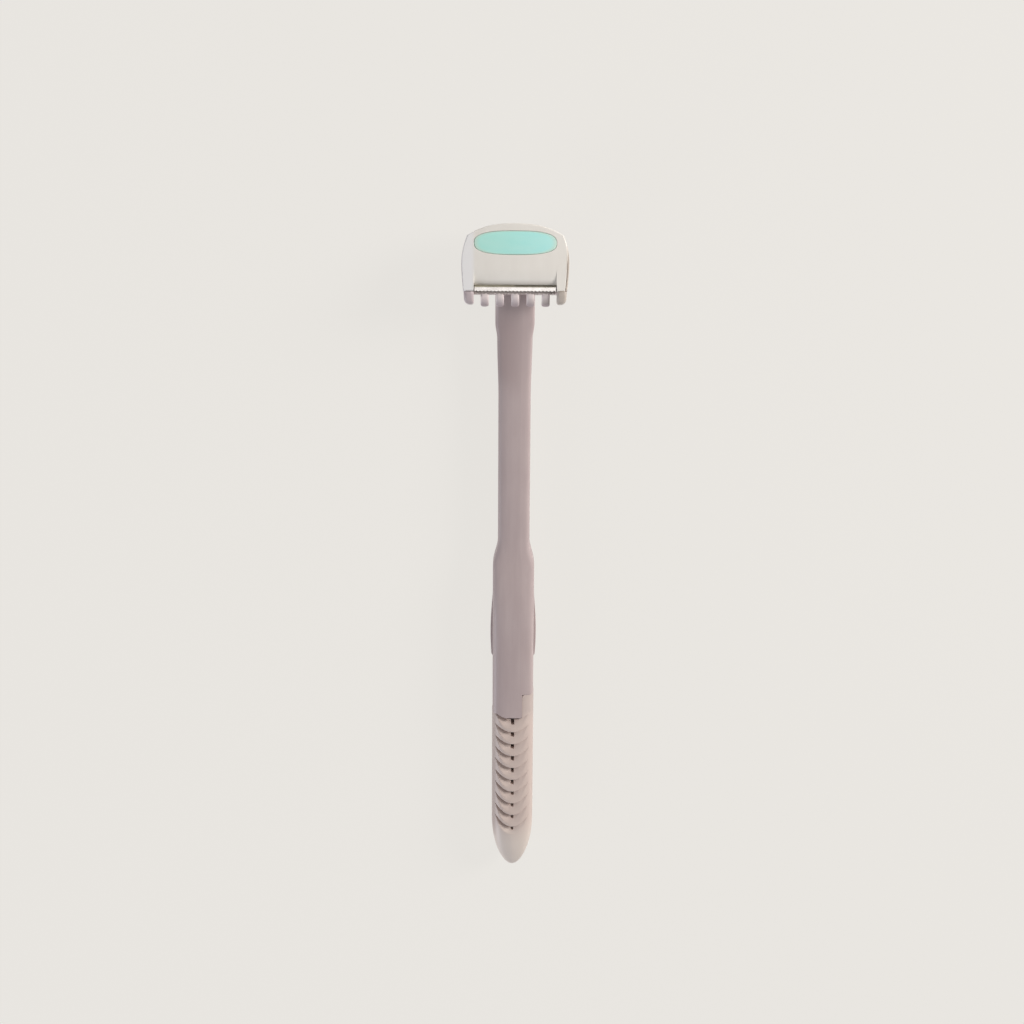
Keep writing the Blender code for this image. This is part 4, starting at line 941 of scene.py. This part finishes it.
def trayShell():
    # rings between the head's outline and an oval: the floor inside, the seat, the rim, the side and the back
    t, f = tray, face
    side, corner = headSide(), (f["opening"], -f["seam"])
    half = np.concatenate([np.linspace((0, -f["seam"]), corner, t["frontPoints"])[:-1],
                           np.linspace(corner, side[0], f["footPoints"])[:-1], side])
    loop = softened(mirrored(half, half * (-1, 1)), 3)
    seamPoint = t["frontPoints"] + f["footPoints"] - 2
    keys = [0, t["frontPoints"] - 1, seamPoint, seamPoint + f["shoulderPoint"], len(half) - 1]
    halfAngle = np.interp(np.arange(len(half)), keys, t["cornerAngles"])
    angle = mirrored(halfAngle, pi - halfAngle)
    oval, core = ovalAt(angle, t["refWide"], t["refHigh"], t["centre"], t["refPower"])
    fromFront = np.abs(angle + pi / 2)  # over 180 degrees on the left, which keeps its full wall and rim
    wall = np.where(fromFront < t["frontAngle"], t["frontWall"], t["wall"])
    rim = np.where(fromFront < t["rimAngle"], t["seat"] + t["rimStep"], t["rim"])

    def ring(inset, height):
        return drawnIn(loop, oval, inset), height

    corner, ledge, low = t["corner"], t["rimWide"], t["seatRound"]
    rings = discs(core, oval, t["floorSteps"], t["floor"])
    rings += [ring(wall + corner, t["floor"]), ring(wall, t["floor"] + corner), ring(wall, t["seat"] - corner),
              ring(wall - corner, t["seat"]), ring(ledge, t["seat"]), ring(ledge, rim - low)]
    rings += [ring(ledge - away, rim - roundOff(away, low)) for away in (0.01, 0.03, low)]
    rings += [ring(away, rim - roundOff(away, t["rimRound"])) for away in t["rimRound"] * np.array(t["rimSteps"])]
    rings.append((loop, t["back"] + t["backRound"]))
    rings += [ring(away, t["back"] + roundOff(away, t["backRound"]))
              for away in t["backRound"] * np.array(t["backSteps"])]
    rings += discs(core, oval, t["floorSteps"][::-1], t["back"])
    return ringShell(rings)


def rodShell(points, along, centreX, halfX, centreN, halfN, power):
    # superellipse sections along t: the centre and half size of each in x and n
    x, n = superEllipse(around(points), 1, 1, power)
    return closedGrid(headPoint(centreX + halfX[:, None] * x, along[:, None], centreN[:, None] + halfN[:, None] * n))


def tipSteps(start, turn, evenCount, tipCount):
    # shares of a way: even as far as the turn, then ever closer by a quarter of a sine
    closer = np.sin(np.linspace(0.1, 1, tipCount) * pi / 2)
    return np.concatenate([np.linspace(start, turn, evenCount), mix(turn, 1, closer)])


def toothShell(centre):
    # a finger whose upper face falls by a power of the way along it, drawn in to a round tip
    k = teeth
    way = tipSteps(*k["steps"])
    tip = np.clip((way - k["tipStart"]) / (1 - k["tipStart"]), 0, 1)
    size = (1 - tip ** k["tipPower"] * k["tipFull"]) ** (1 / k["tipPower"])
    top = k["top"] - k["curl"] * way ** k["curlPower"]
    return rodShell(k["points"], k["root"] - k["reach"] * way, centre, k["half"] * size,
                    top - k["deep"] / 2, k["deep"] / 2 * size, k["power"])


def hornShell(side):
    # straight on the opening's side, rounded outside and at the foot; its face sinks by a power of the way
    h = horn
    way = np.append(h["firstSteps"], tipSteps(*h["steps"]))
    t = mix(h["start"], h["foot"], way)
    toFoot = t - h["foot"]
    outer = h["outer"] - h["draft"] * way - roundOff(toFoot, h["outerRound"])
    inner = h["inner"] + roundOff(toFoot, h["innerRound"])
    top = h["top"] - h["sink"] * way ** h["sinkPower"] - roundOff(toFoot, h["topRound"])
    top = top - roundOff(h["start"] - t, h["startRound"])
    low = h["low"] + roundOff(toFoot, h["topRound"])
    return rodShell(h["points"], t, side * (outer + inner)[:, None] / 2, (outer - inner) / 2, (top + low) / 2,
                    (top - low) / 2, h["power"])


def barShell():
    # a superellipse carried across the opening, under the fins
    t, n = superEllipse(around(bar["points"]), bar["wide"], bar["high"], bar["power"])
    x = np.linspace(-bar["half"], bar["half"], bar["columns"])[:, None]
    return closedGrid(headPoint(x, t + bar["t"], n + bar["n"]))


def combTray():
    # the closed shells of tray, bar, horns and teeth in one piece
    shells = [trayShell(), barShell(), hornShell(-1), hornShell(1)]
    shells += [toothShell(teeth["pitch"] * (i - (teeth["count"] - 1) / 2)) for i in range(teeth["count"])]
    points = np.concatenate([points for points, faces in shells])
    starts = np.cumsum([0] + [len(points) for points, faces in shells[:-1]])
    faces = np.concatenate([faces + start for (points, faces), start in zip(shells, starts)])
    makePiece("combTray", points, faces, lilacPlastic, "head", ["comb_base"], "white_plastic")


blade = dict(t=-5.1, n=-1.5, slope=radians(20))  # its edge in the face's frame, and its own slope
serration = dict(steps=12, power=0.7, blunt=0.2)
guard = dict(
    serration, half=8.25, pitch=0.75, back=0.42, root=-0.32, tip=-0.52, low=0.15, high=0.27,
)
fins = dict(
    serration, half=8.15, pitch=0.9, back=-5.28, root=-5.76, tip=-5.98, low=-2.0, high=-1.76,
)


def bladePoint(x, along, above):
    # the blade's slope turned into the face's frame
    t, n = turned(along, above, blade["slope"])
    return headPoint(x, blade["t"] + t, blade["n"] + n)


def serratedBar(s, place):
    # a flat bar whose front edge runs between root and tip as rounded teeth: a power of a raised cosine of x
    x = np.arange(-s["half"], s["half"] + hair, s["pitch"] / s["steps"])[:, None]
    wave = (1 + np.cos(2 * pi * x / s["pitch"])) / 2
    front = mix(s["root"], s["tip"], wave ** s["power"])
    low, high, back = s["low"], s["high"], s["back"] + 0 * x
    blunt = (high - low) * s["blunt"]
    t = np.concatenate([back, back, back - blunt, front + blunt, front, front, front + blunt, back - blunt], 1)
    n = np.array([low + blunt, high - blunt, high, high, high - blunt, low + blunt, low, low])
    return closedGrid(place(x, t, n))


headCover()
softStrip()
combTray()
makePiece("guardStrip", *serratedBar(guard, bladePoint), guardSteel, "head", ["guard_strip"], "steel")
makePiece("softFins", *serratedBar(fins, headPoint), finRubber, "head", ["guard_fins"], "grey_rubber")
print("head made")


# Small pieces taken over from the CAD

saddleEdge = dict(
    width=0.10 * mm, segments=2, limit_method="ANGLE", angle_limit=radians(40),
    use_clamp_overlap=True, harden_normals=True,
)

refinedCopy("neckFork", "neck_yoke", mauvePlastic, "handle", "mauve_plastic")
clipSaddle = refinedCopy("clipSaddle", "pivot_saddle", greyPlastic, "head", "grey_plastic")
setAll(clipSaddle.modifiers.new("brokenEdges", "BEVEL"), saddleEdge)
refinedCopy("bladeCarrier", "detail_carrier", mauvePlastic, "handle", "mauve_plastic")

# the leaf runs from the pin to its tip under the saddle; its copy is attached to no body and baked in place, in
# metres
springLeaf = refinedCopy("springLeaf", "return_leaf", guardSteel, None, "steel")
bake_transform(springLeaf)

# the CAD nodes that stay get their finish
for look, kept in ((guardSteel, ("pivot_pin", "detail_rivet_front", "detail_rivet_rear")),
                   (bladeSteel, ("detail_blade", "detail_guard", "main_blade")),
                   (greyPlastic, ("blade_platform",))):
    for name in kept:
        for place in nodes[name].material_slots:
            place.link = "OBJECT"
            place.material = look
print("small pieces dressed")


# Stage: floor, light and camera, in metres and watts

stage = dict(
    background=(233, 230, 225), floorSize=4.0, shadowShare=0.1, glow=1.025, ambient=0.33,
    ambientColour=(233, 232, 233), glossShare=0.9,
)
lamps = {  # place, colour and settings of each
    "key": ((0.739, 0.360, 0.366), (255, 251, 247), {"size": 0.36, "energy": 7.3}),
    "edge": ((0.10, 0.86, 0.50), (255, 255, 255), {"size": 0.30, "energy": 0.6}),
    "fill": ((-0.66, -0.52, 0.24), (244, 247, 255), {"size": 0.45, "energy": 3.7}),
}
# the view leans from straight down, seen from the head's end; lens and sensor are millimetres
lens = dict(lens=71.23, sensor_width=36, shift_x=-0.00181, shift_y=-0.00176, clip_start=0.01)
view = dict(lean=radians(20), roll=radians(0.35), place=(0, 0.16084, 0.41493))


def makeFloor():
    # a plain sheet that glows in the background's colour for camera and reflections, and takes a faint shadow
    mesh = bpy.data.meshes.new("floor")
    half = stage["floorSize"] / 2
    mesh.from_pydata([(-half, -half, 0), (half, -half, 0), (half, half, 0), (-half, half, 0)], [], [(0, 1, 2, 3)])
    floor = addObject("floor", mesh)
    look = Look("paleFloor")
    seen = look.make("LightPath", {}, {}, "Is Camera Ray")
    glossy = look.make("LightPath", {}, {}, "Is Glossy Ray")
    colour = fromScreen(*stage["background"])
    matt = look.make("BsdfDiffuse", {}, {"Color": colour})
    glow = look.make("Emission", {}, {"Color": colour, "Strength": stage["glow"]})
    share = (seen + glossy) * (1 - stage["shadowShare"])
    mesh.materials.append(look.finish(look.make("MixShader", {}, {0: share, 1: matt, 2: glow})))


def makeWorld():
    # even light, brighter where it is seen in a reflection
    world = bpy.data.worlds.new("studio")
    bpy.context.scene.world = world
    world.use_nodes = True
    tree = world.node_tree
    tree.nodes.clear()
    path = tree.nodes.new("ShaderNodeLightPath")
    glossy = Wire(tree, path.outputs["Is Glossy Ray"])
    strength = glossy * (stage["glossShare"] - stage["ambient"]) + stage["ambient"]
    shade = tree.nodes.new("ShaderNodeBackground")
    plug(tree, shade.inputs["Color"], fromScreen(*stage["ambientColour"]))
    plug(tree, shade.inputs["Strength"], strength)
    end = tree.nodes.new("ShaderNodeOutputWorld")
    tree.links.new(shade.outputs[0], end.inputs["Surface"])


def makeLamp(name, source, colour, settings):
    # a round soft lamp that faces the middle of the object
    data = bpy.data.lights.new(name, "AREA")
    setAll(data, {"shape": "DISK", "color": fromScreen(*colour), **settings})
    turn = (-Vector(source)).to_track_quat("-Z", "Y").to_euler()
    setAll(addObject(name, data), {"location": source, "rotation_euler": turn})


def makeCamera():
    # leant about X, then rolled about its own line of sight
    data = bpy.data.cameras.new("camera")
    setAll(data, lens)
    camera = addObject("camera", data)
    turn = Matrix.Rotation(-view["lean"], 4, "X") @ Matrix.Rotation(view["roll"], 4, "Z")
    camera.matrix_world = Matrix.Translation(view["place"]) @ turn
    bpy.context.scene.camera = camera


makeFloor()
makeWorld()
for name, lamp in lamps.items():
    makeLamp(name, *lamp)
makeCamera()
bpy.context.scene.view_settings.view_transform = "Standard"
print("stage made")
